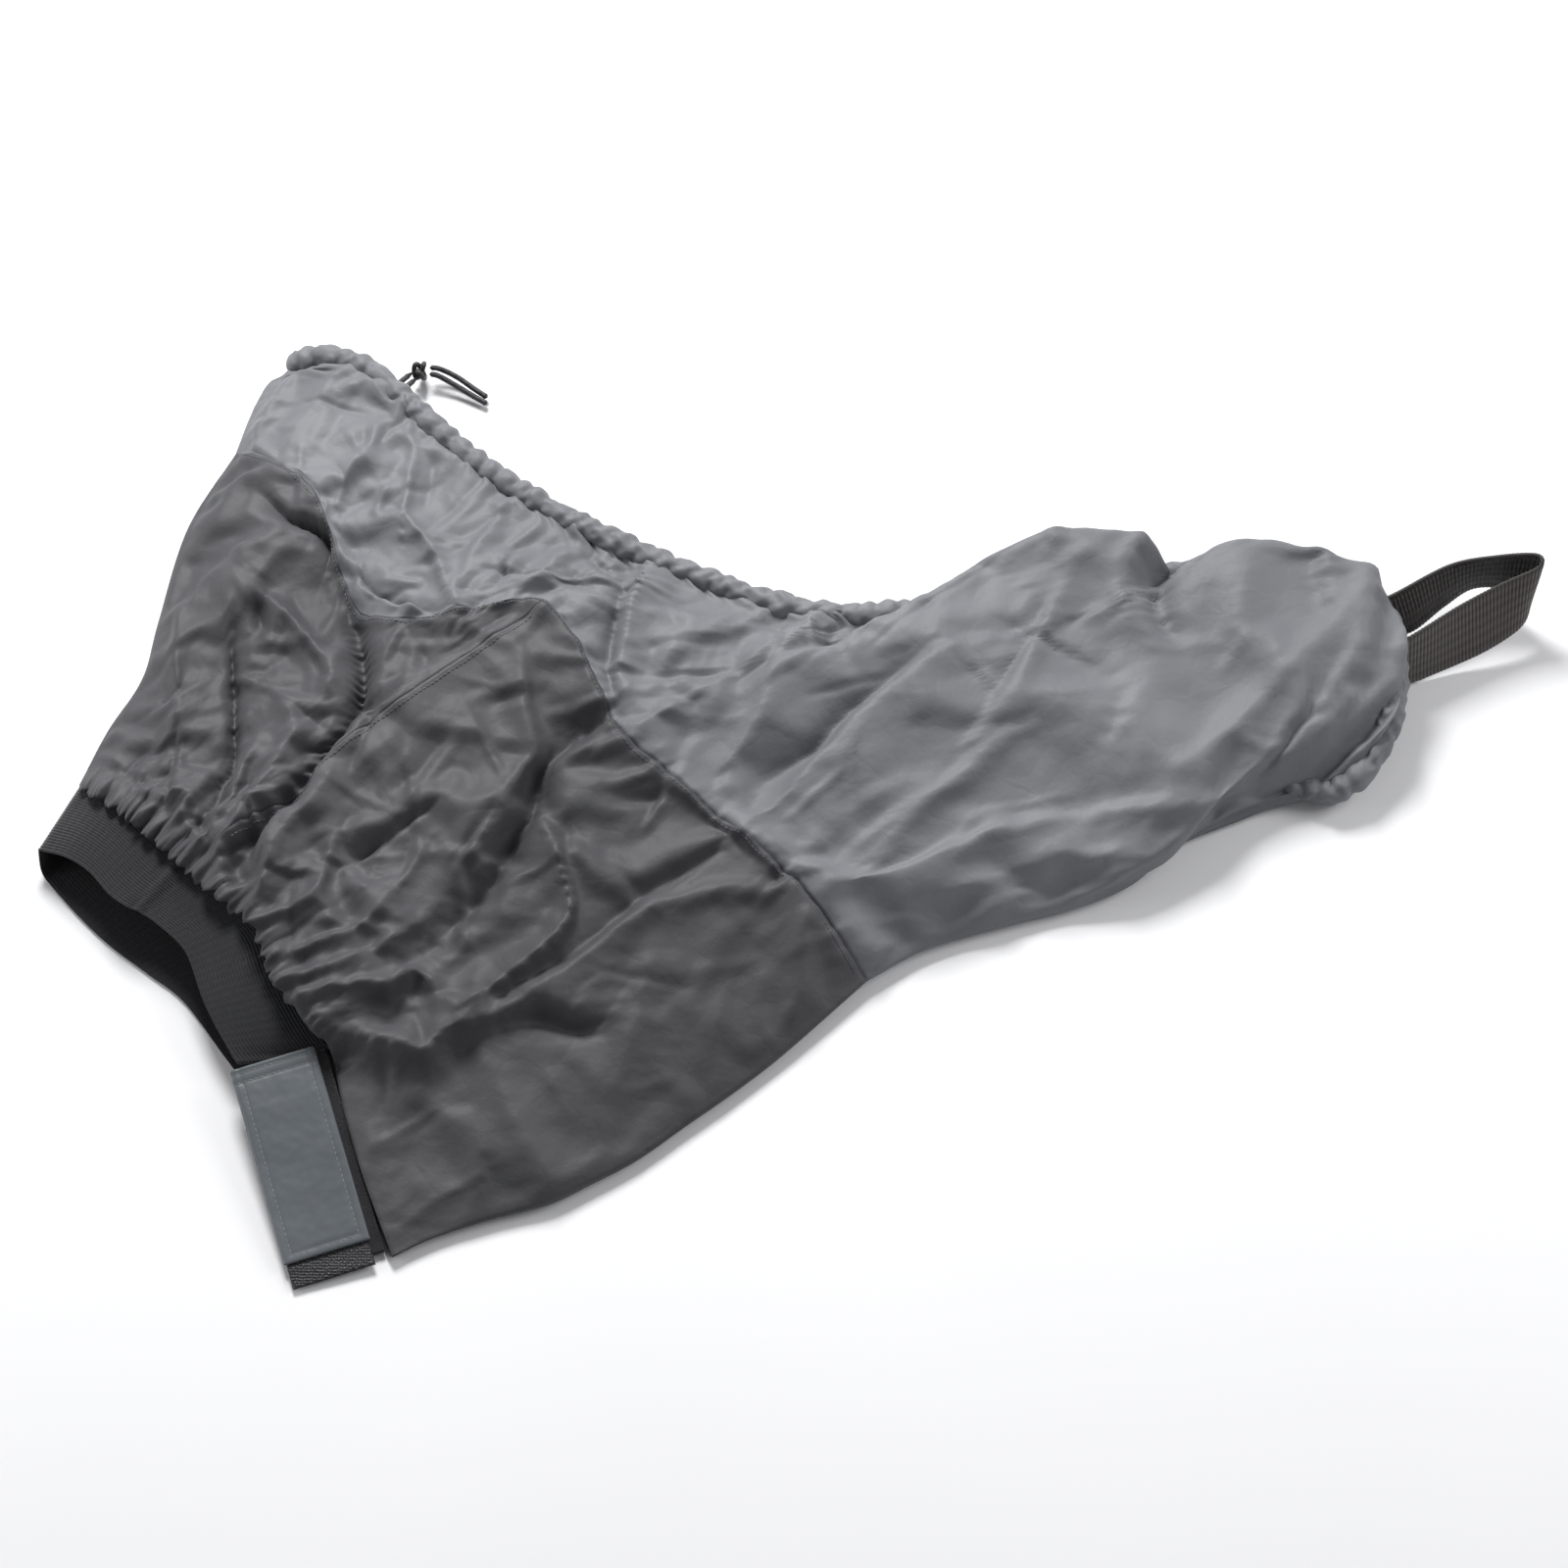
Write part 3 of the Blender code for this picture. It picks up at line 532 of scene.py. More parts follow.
tails, knot, stubs = makeCord()
for (tail, path, length), node in zip(tails, ("bungee_tail_a", "bungee_tail_b")):
    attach(tail, "drawcord")
    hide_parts(node)
for piece in (knot, *stubs):
    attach(piece, "drawcord")
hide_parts("bungee_knot")

print("flattened tube of cloth")

# The skirt is a flattened tube. Stations 0 to 1 run along the near side, from the left or stern fold to
# the right or bow fold, and 1 to 2 run back along the far side, which lies on the floor. Rows run from the
# waist, over the seam between tunnel and deck, to the elastic rim.
tube = {
    "nearColumns": 174,
    "farColumns": 48,
    "tunnelRows": 60,
    "deckRows": 54,
    "splitStation": 0.42,       # the tunnel's side seam
    "farSplit": 0.62,           # its other side seam, as a share of the far side
    "waistNear": [(-403, -17, 14), (-384, -30, 21), (-359, -52, 25), (-328, -83, 28), (-306, -104, 29),
                  (-290, -120, 30), (-280, -145, 29), (-267, -169, 28), (-257, -183, 24),
                  (-247, -190, 16), (-239, -221, 13), (-226, -261, 10), (-208, -306, 5)],
    "waistFar": [(-403, -17, 14), (-396, -30, 1.5), (-335, -85, 1.5), (-296, -120, 1.5),
                 (-272, -158, 1.5), (-254, -192, 1.5), (-236, -240, 1.5), (-213, -300, 1.5),
                 (-208, -306, 5)],
    "seamNear": [(-331, 219, 9), (-318, 210, 22), (-298, 194, 34), (-277, 172, 38), (-267, 148, 34),
                 (-257, 116, 32), (-244, 90, 34), (-214, 79, 42), (-173, 82, 48), (-140, 86, 50),
                 (-118, 62, 50), (-103, 30, 50), (-86, -5, 50), (-52, -35, 46), (-24, -61, 42),
                 (4, -86, 36), (31, -117, 23), (50, -140, 7)],
    "seamFar": [(-331, 219, 9), (-310, 198, 1.5), (-140, 40, 1.5), (30, -120, 1.5), (50, -140, 7)],
    "crestNear": [(-306, 272, 16), (-279, 270, 31), (-251, 254, 35), (-229, 229, 36), (-206, 207, 36),
                  (-183, 184, 36), (-158, 162, 36), (-132, 145, 36), (-104, 127, 36), (-63, 108, 36),
                  (-23, 88, 35), (20, 74, 34), (60, 77, 34), (96, 93, 37), (118, 111, 42), (136, 125, 46),
                  (165, 138, 50), (193, 138, 52), (216, 135, 51), (232, 120, 45), (246, 120, 42),
                  (268, 128, 46), (296, 129, 48), (322, 121, 47), (346, 111, 45), (358, 88, 42),
                  (360, 62, 39), (356, 34, 34), (344, 12, 28), (326, -4, 20), (300, -18, 13),
                  (275, -27, 7)],
    "rimNear": [(-298, 282, 16), (-276, 280, 26), (-246, 264, 29), (-223, 239, 31), (-179, 195, 31),
                (-128, 158, 31), (-60, 121, 31), (21, 90, 31), (96, 94, 30), (167, 112, 24),
                (240, 124, 21), (310, 118, 22), (346, 103, 25), (360, 78, 27), (360, 46, 25),
                (353, 18, 21), (340, -6, 16), (320, -21, 11)],
    "rimFar": [(-298, 282, 16), (-270, 292, 7), (-240, 268, 7), (-212, 238, 7), (-175, 202, 7),
               (-127, 166, 7), (-60, 129, 7), (10, 102, 7), (62, 90, 7), (108, 70, 7), (153, 42, 7),
               (208, 14, 7), (284, -10, 7), (320, -21, 11)],
    # the folds at the tube's two edges, row by row
    "leftEdge": [(-403, -17, 14), (-391, 21, 10), (-374, 58, 9), (-368, 99, 8), (-356, 165, 8),
                 (-331, 219, 9)],
    "rightEdge": [(-208, -306, 5), (-187, -295, 5), (-156, -284, 5), (-124, -275, 5), (-103, -264, 5),
                  (-77, -249, 5), (-50, -228, 5), (-24, -208, 5), (4, -184, 5), (50, -140, 7)],
    "deckLeftEdge": [(-331, 219, 9), (-324, 246, 10), (-315, 268, 12), (-306, 272, 16)],
    "deckRightEdge": [(50, -140, 7), (87, -118, 6), (143, -100, 6), (171, -92, 6), (202, -78, 6),
                      (223, -57, 6), (246, -41, 6), (275, -27, 7)],
    # where the side seam's station falls along each ring
    "splitShares": {"waist": 0.27, "seam": 0.485, "crest": 0.30, "rim": 0.30},
    "tunnelSwell": 9,
    "deckSwell": 9,
    "hemRadius": 6.8,
    "ceiling": 64,              # no cloth stands higher
    "bendsAbove": 46,           # and it levels off from here
    "lowest": 3.0,              # no cloth of the near side lies lower
    "farCeiling": 4,            # the far side lies flat under it
}


def ringShares(stations, ring):
    return np.interp(stations, (0, tube["splitStation"], 1), (0, tube["splitShares"][ring], 1))


def ring(near, far, stations, name):
    onNear = stations <= 1
    points = np.empty((len(stations), 3))
    points[onNear] = curveThrough(near, ringShares(stations[onNear], name))
    points[~onNear] = curveThrough(far, 2 - stations[~onNear])
    return points


def edgePull(edge, lowEnd, highEnd, share):
    # how far the real edge lies from the straight line between its two ends
    line = np.asarray(lowEnd) * (1 - share[:, None]) + np.asarray(highEnd) * share[:, None]
    return curveThrough(edge, share) - line


def clothTube():
    # rows of straight lines between the rings, pulled to the edge curves and swollen along the near side;
    # the last rows curl over the crest, down to the rim hem
    stations = np.concatenate((np.linspace(0, 1, tube["nearColumns"], endpoint=False),
                               np.linspace(1, 2, tube["farColumns"], endpoint=False)))
    waist = ring(tube["waistNear"], tube["waistFar"], stations, "waist")
    seam = ring(tube["seamNear"], tube["seamFar"], stations, "seam")
    crest = ring(tube["crestNear"], tube["rimFar"], stations, "crest")
    rim = ring(tube["rimNear"], tube["rimFar"], stations, "rim")
    nearSide = stations <= 1
    fromLeft = np.where(nearSide, stations, 2 - stations)
    toLeft, toRight = (1 - fromLeft) ** 5, fromLeft ** 5
    rise = np.clip(np.sin(np.pi * stations), 0, None) ** 0.5

    share = np.linspace(0, 1, tube["tunnelRows"] + 1)
    tunnel = waist * (1 - share[:, None, None]) + seam * share[:, None, None]
    tunnel += edgePull(tube["leftEdge"], waist[0], seam[0], share)[:, None] * toLeft[:, None]
    middle = tube["nearColumns"]
    tunnel += edgePull(tube["rightEdge"], waist[middle], seam[middle], share)[:, None] * toRight[:, None]
    tunnel[..., 2] += tube["tunnelSwell"] * np.sin(np.pi * share)[:, None] * rise
    tunnel[:, ~nearSide, 2] = np.clip(tunnel[:, ~nearSide, 2], None, tube["farCeiling"])

    share = np.linspace(0, 1, tube["deckRows"] + 1)
    flat = np.clip(share / 0.84, 0, 1)
    spread = np.where(nearSide, flat[:, None], share[:, None])[..., None]
    deck = seam * (1 - spread) + crest * spread
    deck += edgePull(tube["deckLeftEdge"], seam[0], crest[0], flat)[:, None] * toLeft[:, None]
    deck += edgePull(tube["deckRightEdge"], seam[middle], crest[middle], flat)[:, None] * toRight[:, None]
    deck[..., 2] += tube["deckSwell"] * np.sin(np.pi * flat)[:, None] * rise
    curl = smoothStep(0.80, 1.0, share)[:, None, None]
    deck = deck * (1 - curl) + rim * curl
    deck[:, ~nearSide, 2] = np.clip(deck[:, ~nearSide, 2], None, tube["farCeiling"])
    deck[-1] = rim
    return stations, np.vstack((tunnel, deck[1:]))


# Folds on the near side. Each has a name, half its width, how wide its steep side is as a share of that,
# and places with their heights; a valley's heights are below zero. The steep side is on the right hand.
foldStrength = 1.5
# unevenness of the open cloth: size and height in millimetres, and seed
swells = ((31, 1.3, 3), (13, 0.5, 5))
folds = [
    ("leftValley", 5, 0.8, [(-320, 96, 0), (-321, 70, -7), (-318, 33, -9), (-316, 0, -9), (-320, -29, -7),
        (-326, -53, -3)]),
    ("leftRidge", 14, 1, [(-349, 136, 2), (-354, 101, 6), (-353, 56, 7), (-350, 14, 7), (-347, -19, 6),
        (-341, -44, 3)]),
    ("midFacetA", 9, 1, [(-315, 110, 2), (-287, 85, 6), (-266, 56, 7), (-258, 26, 4)]),
    ("midFacetB", 10, 1, [(-289, 31, 3), (-279, 6, 6), (-288, -22, 6), (-302, -50, 4), (-310, -74, 2)]),
    ("darkValley", 9, 0.7, [(-264, 121, -3), (-251, 89, -9), (-244, 53, -13), (-245, 18, -14),
        (-259, -9, -13), (-277, -38, -11), (-295, -63, -9), (-306, -80, -4)]),
    ("pocket", 6, 0.35, [(-268, 128, -3), (-270, 141, -13), (-278, 151, -13), (-295, 159, -8),
        (-311, 174, -1)]),
    ("broadRidge", 26, 0.22, [(-176, 59, 2), (-195, 43, 6), (-224, 14, 10), (-249, -8, 12),
        (-268, -37, 12), (-283, -57, 11), (-286, -89, 9), (-289, -109, 4)]),
    ("slit", 3.5, 0.6, [(-250, -86, -1), (-233, -75, -5), (-214, -62, -5), (-193, -47, -1)]),
    ("panelEdge", 12, 0.4, [(-159, -49, 4), (-143, -14, 6), (-147, 15, 6), (-150, 48, 3)]),
    ("wideValley", 13, 0.8, [(-93, 20, -4), (-130, -10, -9), (-141, -45, -11), (-158, -83, -11),
        (-182, -112, -10), (-199, -136, -8), (-214, -147, -3)]),
    ("edgeByValley", 8, 0.35, [(-168, -167, 4), (-138, -144, 7), (-118, -119, 8), (-120, -91, 8),
        (-128, -62, 4)]),
    ("seamCrease", 7, 0.8, [(-30, -75, -1), (-70, -96, -4), (-90, -112, -5), (-120, -139, -5),
        (-153, -163, -3)]),
    ("seamCreaseRidge", 9, 0.7, [(-9, -97, 1), (-49, -105, 3), (-84, -121, 5), (-117, -147, 5),
        (-149, -170, 3)]),
    ("lobeCliff", 26, 0.21, [(-263, -170, 6), (-250, -182, 10), (-229, -188, 13), (-206, -195, 14),
        (-193, -197, 12), (-180, -185, 9), (-156, -175, 7), (-132, -167, 7), (-109, -171, 5),
        (-83, -169, 0)]),
    ("lobeFacet", 8, 0.6, [(-235, -175, 1), (-220, -159, 5), (-199, -148, 4), (-180, -168, 2)]),
    ("cliffShade", 7, 1, [(-156, -179, 0), (-131, -174, -6), (-110, -179, -7), (-90, -172, 0)]),
    ("frontA", 16, 0.6, [(-162, -185, 1), (-145, -230, 4), (-125, -268, 5)]),
    ("frontB", 14, 0.5, [(-125, -271, 4), (-95, -246, 5), (-84, -205, 4), (-76, -174, 2)]),
    ("frontC", 9, 0.6, [(-208, -292, 2), (-183, -274, 4), (-165, -264, 4)]),
    ("frontD", 10, 0.7, [(-168, -287, 1), (-162, -271, 4), (-161, -260, 2)]),
    ("frontE", 14, 0.7, [(13, -126, 2), (14, -149, 4), (-2, -176, 4), (-29, -188, 1)]),
    ("frontF", 18, 0.8, [(-229, -193, 1), (-197, -217, 3), (-166, -244, 3), (-136, -265, 1)]),
    ("gatherA", 6, 0.7, [(-341, -52, 4), (-332, -34, 6), (-324, -17, 5), (-319, -18, 1)]),
    ("gatherB", 7, 0.6, [(-327, -67, 5), (-318, -54, 6), (-308, -20, 5), (-300, 1, 2)]),
    ("gatherC", 7, 0.5, [(-309, -90, 5), (-314, -70, 6), (-297, -49, 6), (-273, -23, 3)]),
    ("gatherD", 7, 0.6, [(-294, -110, 5), (-286, -92, 7), (-274, -63, 5), (-254, -32, 3)]),
    ("gatherE", 7, 0.5, [(-289, -122, 5), (-261, -108, 7), (-254, -89, 6), (-248, -65, 3)]),
    ("gatherF", 8, 0.5, [(-278, -142, 5), (-239, -129, 6), (-219, -108, 5), (-201, -78, 2)]),
    ("gatherG", 7, 0.5, [(-270, -157, 5), (-244, -148, 6), (-221, -135, 5), (-194, -109, 3)]),
    ("gatherH", 6, 0.6, [(-264, -166, 3), (-229, -158, 5), (-217, -159, 2)]),
    ("upperA", 10, 0.6, [(-264, 153, 3), (-257, 185, 6), (-248, 198, 5), (-240, 225, 2)]),
    ("upperB", 9, 0.5, [(-223, 154, 5), (-219, 200, 6), (-222, 220, 4)]),
    ("upperC", 8, 0.6, [(-219, 150, 3), (-201, 120, 6), (-190, 88, 4)]),
    ("upperD", 9, 0.6, [(-165, 161, 4), (-179, 128, 5), (-190, 88, 3)]),
    ("upperE", 8, 0.6, [(-128, 126, 3), (-146, 100, 5), (-164, 83, 4)]),
    ("seamBunchA", 5, 0.8, [(-263, 141, 2), (-250, 115, 5), (-226, 89, 5), (-177, 78, 2)]),
    ("seamBunchB", 4, 0.8, [(-257, 120, -3), (-233, 101, -5), (-197, 81, -3)]),
    ("slantLine", 5, 0.8, [(-133, 88, 1), (-164, 63, 3), (-200, 30, 3), (-237, 6, 2)]),
    ("hemFold", 10, 0.35, [(-77, 125, 4), (-84, 92, 8), (-88, 67, 8), (-91, 36, 5), (-86, 6, 1)]),
    ("hemFoldValley", 6, 1, [(-90, 113, -1), (-95, 74, -5), (-96, 45, -5), (-90, 14, -2)]),
    ("longRidgeA", 9, 0.6, [(8, 79, 2), (-12, 51, 4), (-50, 22, 5), (-81, 0, 3)]),
    ("hollow", 13, 0.8, [(109, 61, -5), (73, 47, -10), (45, 24, -12), (20, -2, -11), (-3, -20, -9),
        (-30, -43, -4)]),
    ("hollowEdge", 30, 0.2, [(115, 58, 6), (86, 45, 9), (49, 10, 11), (19, -21, 10), (-12, -51, 7),
        (-29, -69, 2)]),
    ("leftOfHollow", 10, 0.5, [(27, 89, 4), (0, 49, 6), (-11, 11, 6), (-27, -21, 4)]),
    ("thinCrease", 5, 0.4, [(171, 115, 1), (149, 63, 5), (130, 24, 5), (111, -7, 2)]),
    ("thinCreaseV", 3.5, 1, [(166, 115, 0), (145, 64, -3), (124, 26, -3), (108, -4, 0)]),
    ("betweenLobes", 9, 0.8, [(230, 118, -8), (221, 101, -12), (224, 73, -8), (232, 49, -2)]),
    ("lobeEdge", 8, 0.4, [(231, 52, 1), (215, 65, 3), (199, 87, 5), (203, 115, 6), (211, 128, 5)]),
    ("shortCrease", 4, 0.7, [(196, 33, -1), (189, 13, -4), (179, -11, -1)]),
    ("shortRidge", 5, 0.7, [(201, 32, 1), (196, 15, 4), (189, -11, 1)]),
    ("bowRidge", 16, 0.4, [(343, 107, 4), (327, 81, 8), (290, 41, 8), (253, 2, 7), (214, -26, 4),
        (194, -44, 1)]),
    ("bowCliff", 22, 0.16, [(269, -31, 3), (281, -23, 8), (295, -7, 11), (312, 23, 12), (332, 54, 12),
        (340, 79, 11), (346, 104, 8)]),
    ("bowInner", 7, 0.3, [(298, -21, 4), (317, 4, 7), (336, 24, 8), (354, 46, 8), (360, 72, 6)]),
    ("bowNestA", 6, 0.25, [(283, -22, 3), (300, -8, 7), (318, 16, 8), (333, 40, 6), (342, 62, 3)]),
    ("bowNestB", 5, 1, [(281, -14, -3), (296, 6, -6), (309, 28, -6), (322, 52, -3)]),
    ("bowNestC", 5, 0.3, [(306, -20, 4), (327, -2, 8), (345, 14, 7), (357, 30, 5)]),
    ("bowNestD", 4, 1, [(300, -16, -3), (320, -2, -6), (338, 14, -6), (352, 36, -4)]),
    ("bowNestE", 6, 0.4, [(255, -33, 3), (278, -14, 6), (293, 12, 6), (300, 40, 3)]),
    ("bowInnerV", 5, 1, [(304, -18, -4), (323, 4, -7), (341, 24, -7), (360, 50, -4)]),
    ("frontRidge", 10, 0.5, [(265, -32, 4), (234, -38, 6), (202, -42, 7), (163, -49, 6), (126, -59, 6),
        (90, -74, 5), (49, -88, 4), (18, -85, 2)]),
    ("frontRidgeB", 8, 0.6, [(219, -55, 2), (189, -65, 4), (152, -71, 4), (114, -87, 4), (73, -99, 3)]),
    ("lobe2slit", 5, 0.3, [(290, 123, 3), (305, 119, 7), (317, 116, 7), (316, 78, 3)]),
    ("lobe2crease", 10, 0.6, [(267, 124, 2), (271, 116, 4), (265, 65, 4), (283, 61, 2)]),
    ("lobe1crease", 9, 0.6, [(131, 112, 2), (154, 86, 4), (148, 65, 3)]),
    ("midA", 10, 0.6, [(105, -26, 2), (139, 0, 4), (170, 22, 4), (196, 33, 2)]),
    ("midB", 9, 0.6, [(55, -73, 2), (86, -41, 4), (114, -21, 3), (142, 20, 2)]),
    ("midC", 9, 0.6, [(240, -3, 2), (270, 27, 3), (297, 45, 2)]),
    ("bottomTuck", 9, 0.4, [(104, -109, 3), (148, -89, 6), (196, -73, 6), (243, -44, 5), (269, -31, 2)]),
    ("pouchA", 10, 0.6, [(-66, 35, 2), (-55, 58, 4), (-13, 86, 3)]),
    ("seamSide", 9, 0.6, [(-19, -65, 3), (18, -84, 4), (31, -101, 4), (47, -123, 2)]),
]
creases = {
    "seed": 4,
    "count": 560,
    "angle": (0.75, 0.9),      # radians, mean and spread
    "length": (18, 80),        # millimetres, least and most
    "width": (3.2, 9.5),
    "height": (0.9, 3.8),
    "calm": 0.35,              # how much lower they are on the smooth front cloth
    "farShare": 0.45,          # how high they are on the far side, as a share
    "farHeights": (1.0, 5.0),  # between which that side stays
}
pleats = {
    "waistSpacing": 11.5,      # millimetres from one gather to the next
    "waistHeight": 5.2,
    "waistReach": 26,
    "rimSpacing": 12.5,
    "rimHeight": 5.0,
    "rimReach": 26,
    "seamSpacing": 5.5,        # puckers of the seam's stitching
    "seamHeight": 0.5,
    "seamReach": 7,
    # height, place and width of the seam's ridge and groove
    "seamRelief": ((0.9, -3.5, 3.5), (-1.1, 1.2, 1.2)),
    "waistEnd": (0.60, 0.66),  # where the gathers fade out, as shares of the waist
    "ruffleEnd": (0.53, 0.60),         # the ruffle ends before the tab
    "ruffleReach": 5.0,        # how far the gathered edge stands out over the waist elastic
    "ruffleFine": 1.2,         # and its small gathers
    "ruffleFade": 7.5,
    "ruffleLift": 2.6,
}


def foldHeight(spots, line, heights, width, steep):
    # a ridge that falls off with the distance d from its line, as exp(0.25 - sqrt((1.15 d / w)^2 + 0.0625)),
    # which is 1 on the line and has a narrow crest; on its steep side the width w is smaller
    share = np.linspace(0, 1, 40)
    path = curveThrough(line, share)
    height = np.interp(share, np.linspace(0, 1, len(heights)), heights)
    away = spots[:, None] - path
    distance = np.hypot(away[..., 0], away[..., 1])
    nearest = distance.argmin(axis=1)
    pick = np.arange(len(spots))
    run = np.gradient(path, axis=0)[nearest]
    offset = away[pick, nearest]
    onRight = run[:, 1] * offset[:, 0] - run[:, 0] * offset[:, 1] > 0
    reach = np.where(onRight, width * steep, width)
    return height[nearest] * np.exp(0.25 - np.sqrt((1.15 * distance[pick, nearest] / reach) ** 2 + 0.0625))


def creaseHeight(spots, chosen):
    # many short straight creases: a roof with a sharp ridge, height (1 - d / width), fading towards its ends
    total = np.zeros(len(spots))
    for middle, angle, length, width, height in zip(*chosen):
        run = np.array((np.cos(angle), np.sin(angle)))
        away = spots - middle
        along = np.abs(away @ run) / (length / 2)
        aside = np.abs(away @ (-run[1], run[0])) / width
        roof = np.clip(1 - np.sqrt(aside ** 2 + 0.01), 0, None)
        total += height * roof * np.clip(1 - along ** 2, 0, None)
    return total


def chosenCreases(spots, rng):
    # seeded places, angles and sizes; half of them are valleys
    count = creases["count"]
    middles = spots[rng.integers(0, len(spots), count)]
    angles = rng.normal(*creases["angle"], count)
    heights = rng.uniform(*creases["height"], count) * rng.choice((-1, 1), count)
    lengths = rng.uniform(*creases["length"], count)
    widths = rng.uniform(*creases["width"], count)
    return middles, angles, lengths, widths, heights


def pleatWave(walked, spacing, seed):
    # gathers: rounded tops with sharp slits between them, unevenly spaced, 0 in the slits to 1 on the tops
    phase = walked / spacing + 0.55 * noise(walked / spacing / 2.3, walked * 0 + 0.5, seed)
    return np.abs(np.sin(np.pi * phase)) ** 0.6


def waveReach(walked, spacing, seed):
    # some gathers run further into the cloth than others
    return np.exp(0.75 * noise(walked / spacing / 1.6, walked * 0 + 9.3, seed))


def rounded(height):
    # heights h above a mark m bend over towards the ceiling m + s, as m + s tanh((h - m) / s)
    mark = tube["bendsAbove"]
    room = tube["ceiling"] - mark
    bent = mark + room * np.tanh((height - mark) / room)
    return np.clip(np.where(height > mark, bent, height), tube["lowest"], None)


def shapeNearSide(stations, grid):
    # folds, unevenness, gathers at the waist and rim, and the seam's puckers, all as heights added up
    near = np.flatnonzero(stations <= 1)
    rows = grid.shape[0]
    cloth = grid[:, near]
    spots = cloth[..., :2].reshape(-1, 2)
    lift = np.zeros(len(spots))
    for name, width, steep, line in folds:
        line = np.array(line, float)
        lift += foldStrength * foldHeight(spots, line[:, :2], line[:, 2], width, steep)
    lift += sum(height * noise(*(spots / size).T, seed) for size, height, seed in swells)
    lift = lift.reshape(rows, len(near))

    seamRow = tube["tunnelRows"]
    walkedDown = np.cumsum(np.linalg.norm(np.diff(cloth, axis=0, prepend=cloth[:1]), axis=-1), axis=0)
    waistWalk = walkedAlong(cloth[0])
    gathered = 1 - smoothStep(*pleats["waistEnd"], ringShares(stations[near], "waist"))
    wave = pleatWave(waistWalk, pleats["waistSpacing"], 21) * gathered
    fade = np.exp(-walkedDown / (pleats["waistReach"] * waveReach(waistWalk, pleats["waistSpacing"], 22)))
    lift += pleats["waistHeight"] * (wave - 0.4 * gathered) * fade
    rimWalk = walkedAlong(cloth[-1])
    fromRim = walkedDown[-1] - walkedDown
    wave = pleatWave(rimWalk, pleats["rimSpacing"], 31)
    fade = np.exp(-fromRim / (pleats["rimReach"] * waveReach(rimWalk, pleats["rimSpacing"], 32)))
    lift += pleats["rimHeight"] * (wave - 0.5) * fade
    seamWalk = walkedAlong(cloth[seamRow])
    fromSeam = np.abs(walkedDown - walkedDown[seamRow])
    pucker = np.sin(2 * np.pi * (seamWalk / pleats["seamSpacing"] + noise(seamWalk / 14, seamWalk * 0, 41)))
    lift += pleats["seamHeight"] * pucker * np.exp(-(fromSeam / pleats["seamReach"]) ** 2)
    for height, place, width in pleats["seamRelief"]:
        lift += height * np.exp(-((walkedDown - walkedDown[seamRow] - place) / width) ** 2)

    rise = np.clip(np.sin(np.pi * stations[near]), 0, None) ** 0.4
    cloth[..., 2] = rounded(cloth[..., 2] + lift * rise)
    grid[:, near] = cloth
    return grid


stations, clothGrid = clothTube()
seamRow = tube["tunnelRows"]
clothGrid = shapeNearSide(stations, clothGrid)

print("cloth simulation")

settling = {
    "frames": 26,
    "scale": 10,               # the solver works better on a bigger cloth
    "growth": 0.07,            # spare cloth, which has to buckle
    "hold": 0.10,              # how firmly the open cloth keeps to its drawn shape
    "seamHold": 0.6,           # and the seam; hems and folds keep to it wholly
    "solver": {
        "quality": 6, "mass": 0.15, "pin_stiffness": 4.0, "air_damping": 3,
        "tension_stiffness": 40, "compression_stiffness": 40, "shear_stiffness": 20,
        "bending_stiffness": 0.9, "tension_damping": 5, "compression_damping": 5,
    },
    "gravity": 0.3,
    "calm": 0.55,              # how much of the movement the smooth front cloth leaves out
    "farthest": 8,             # millimetres that any point may move
    "evened": 1,               # rounds of averaging with the neighbours, against fine bubbles
}


def smoothFront(stations, rows):
    # 1 on the flat front of the tunnel, below the overhanging lobe, falling to 0 at its edges
    rowsDrawn = tube["tunnelRows"] + tube["deckRows"]
    down = np.arange(rows)[:, None] / (rows - 1) * rowsDrawn / tube["tunnelRows"]
    return smoothStep(0.70, 0.80, stations) * (1 - smoothStep(0.55, 0.95, down))


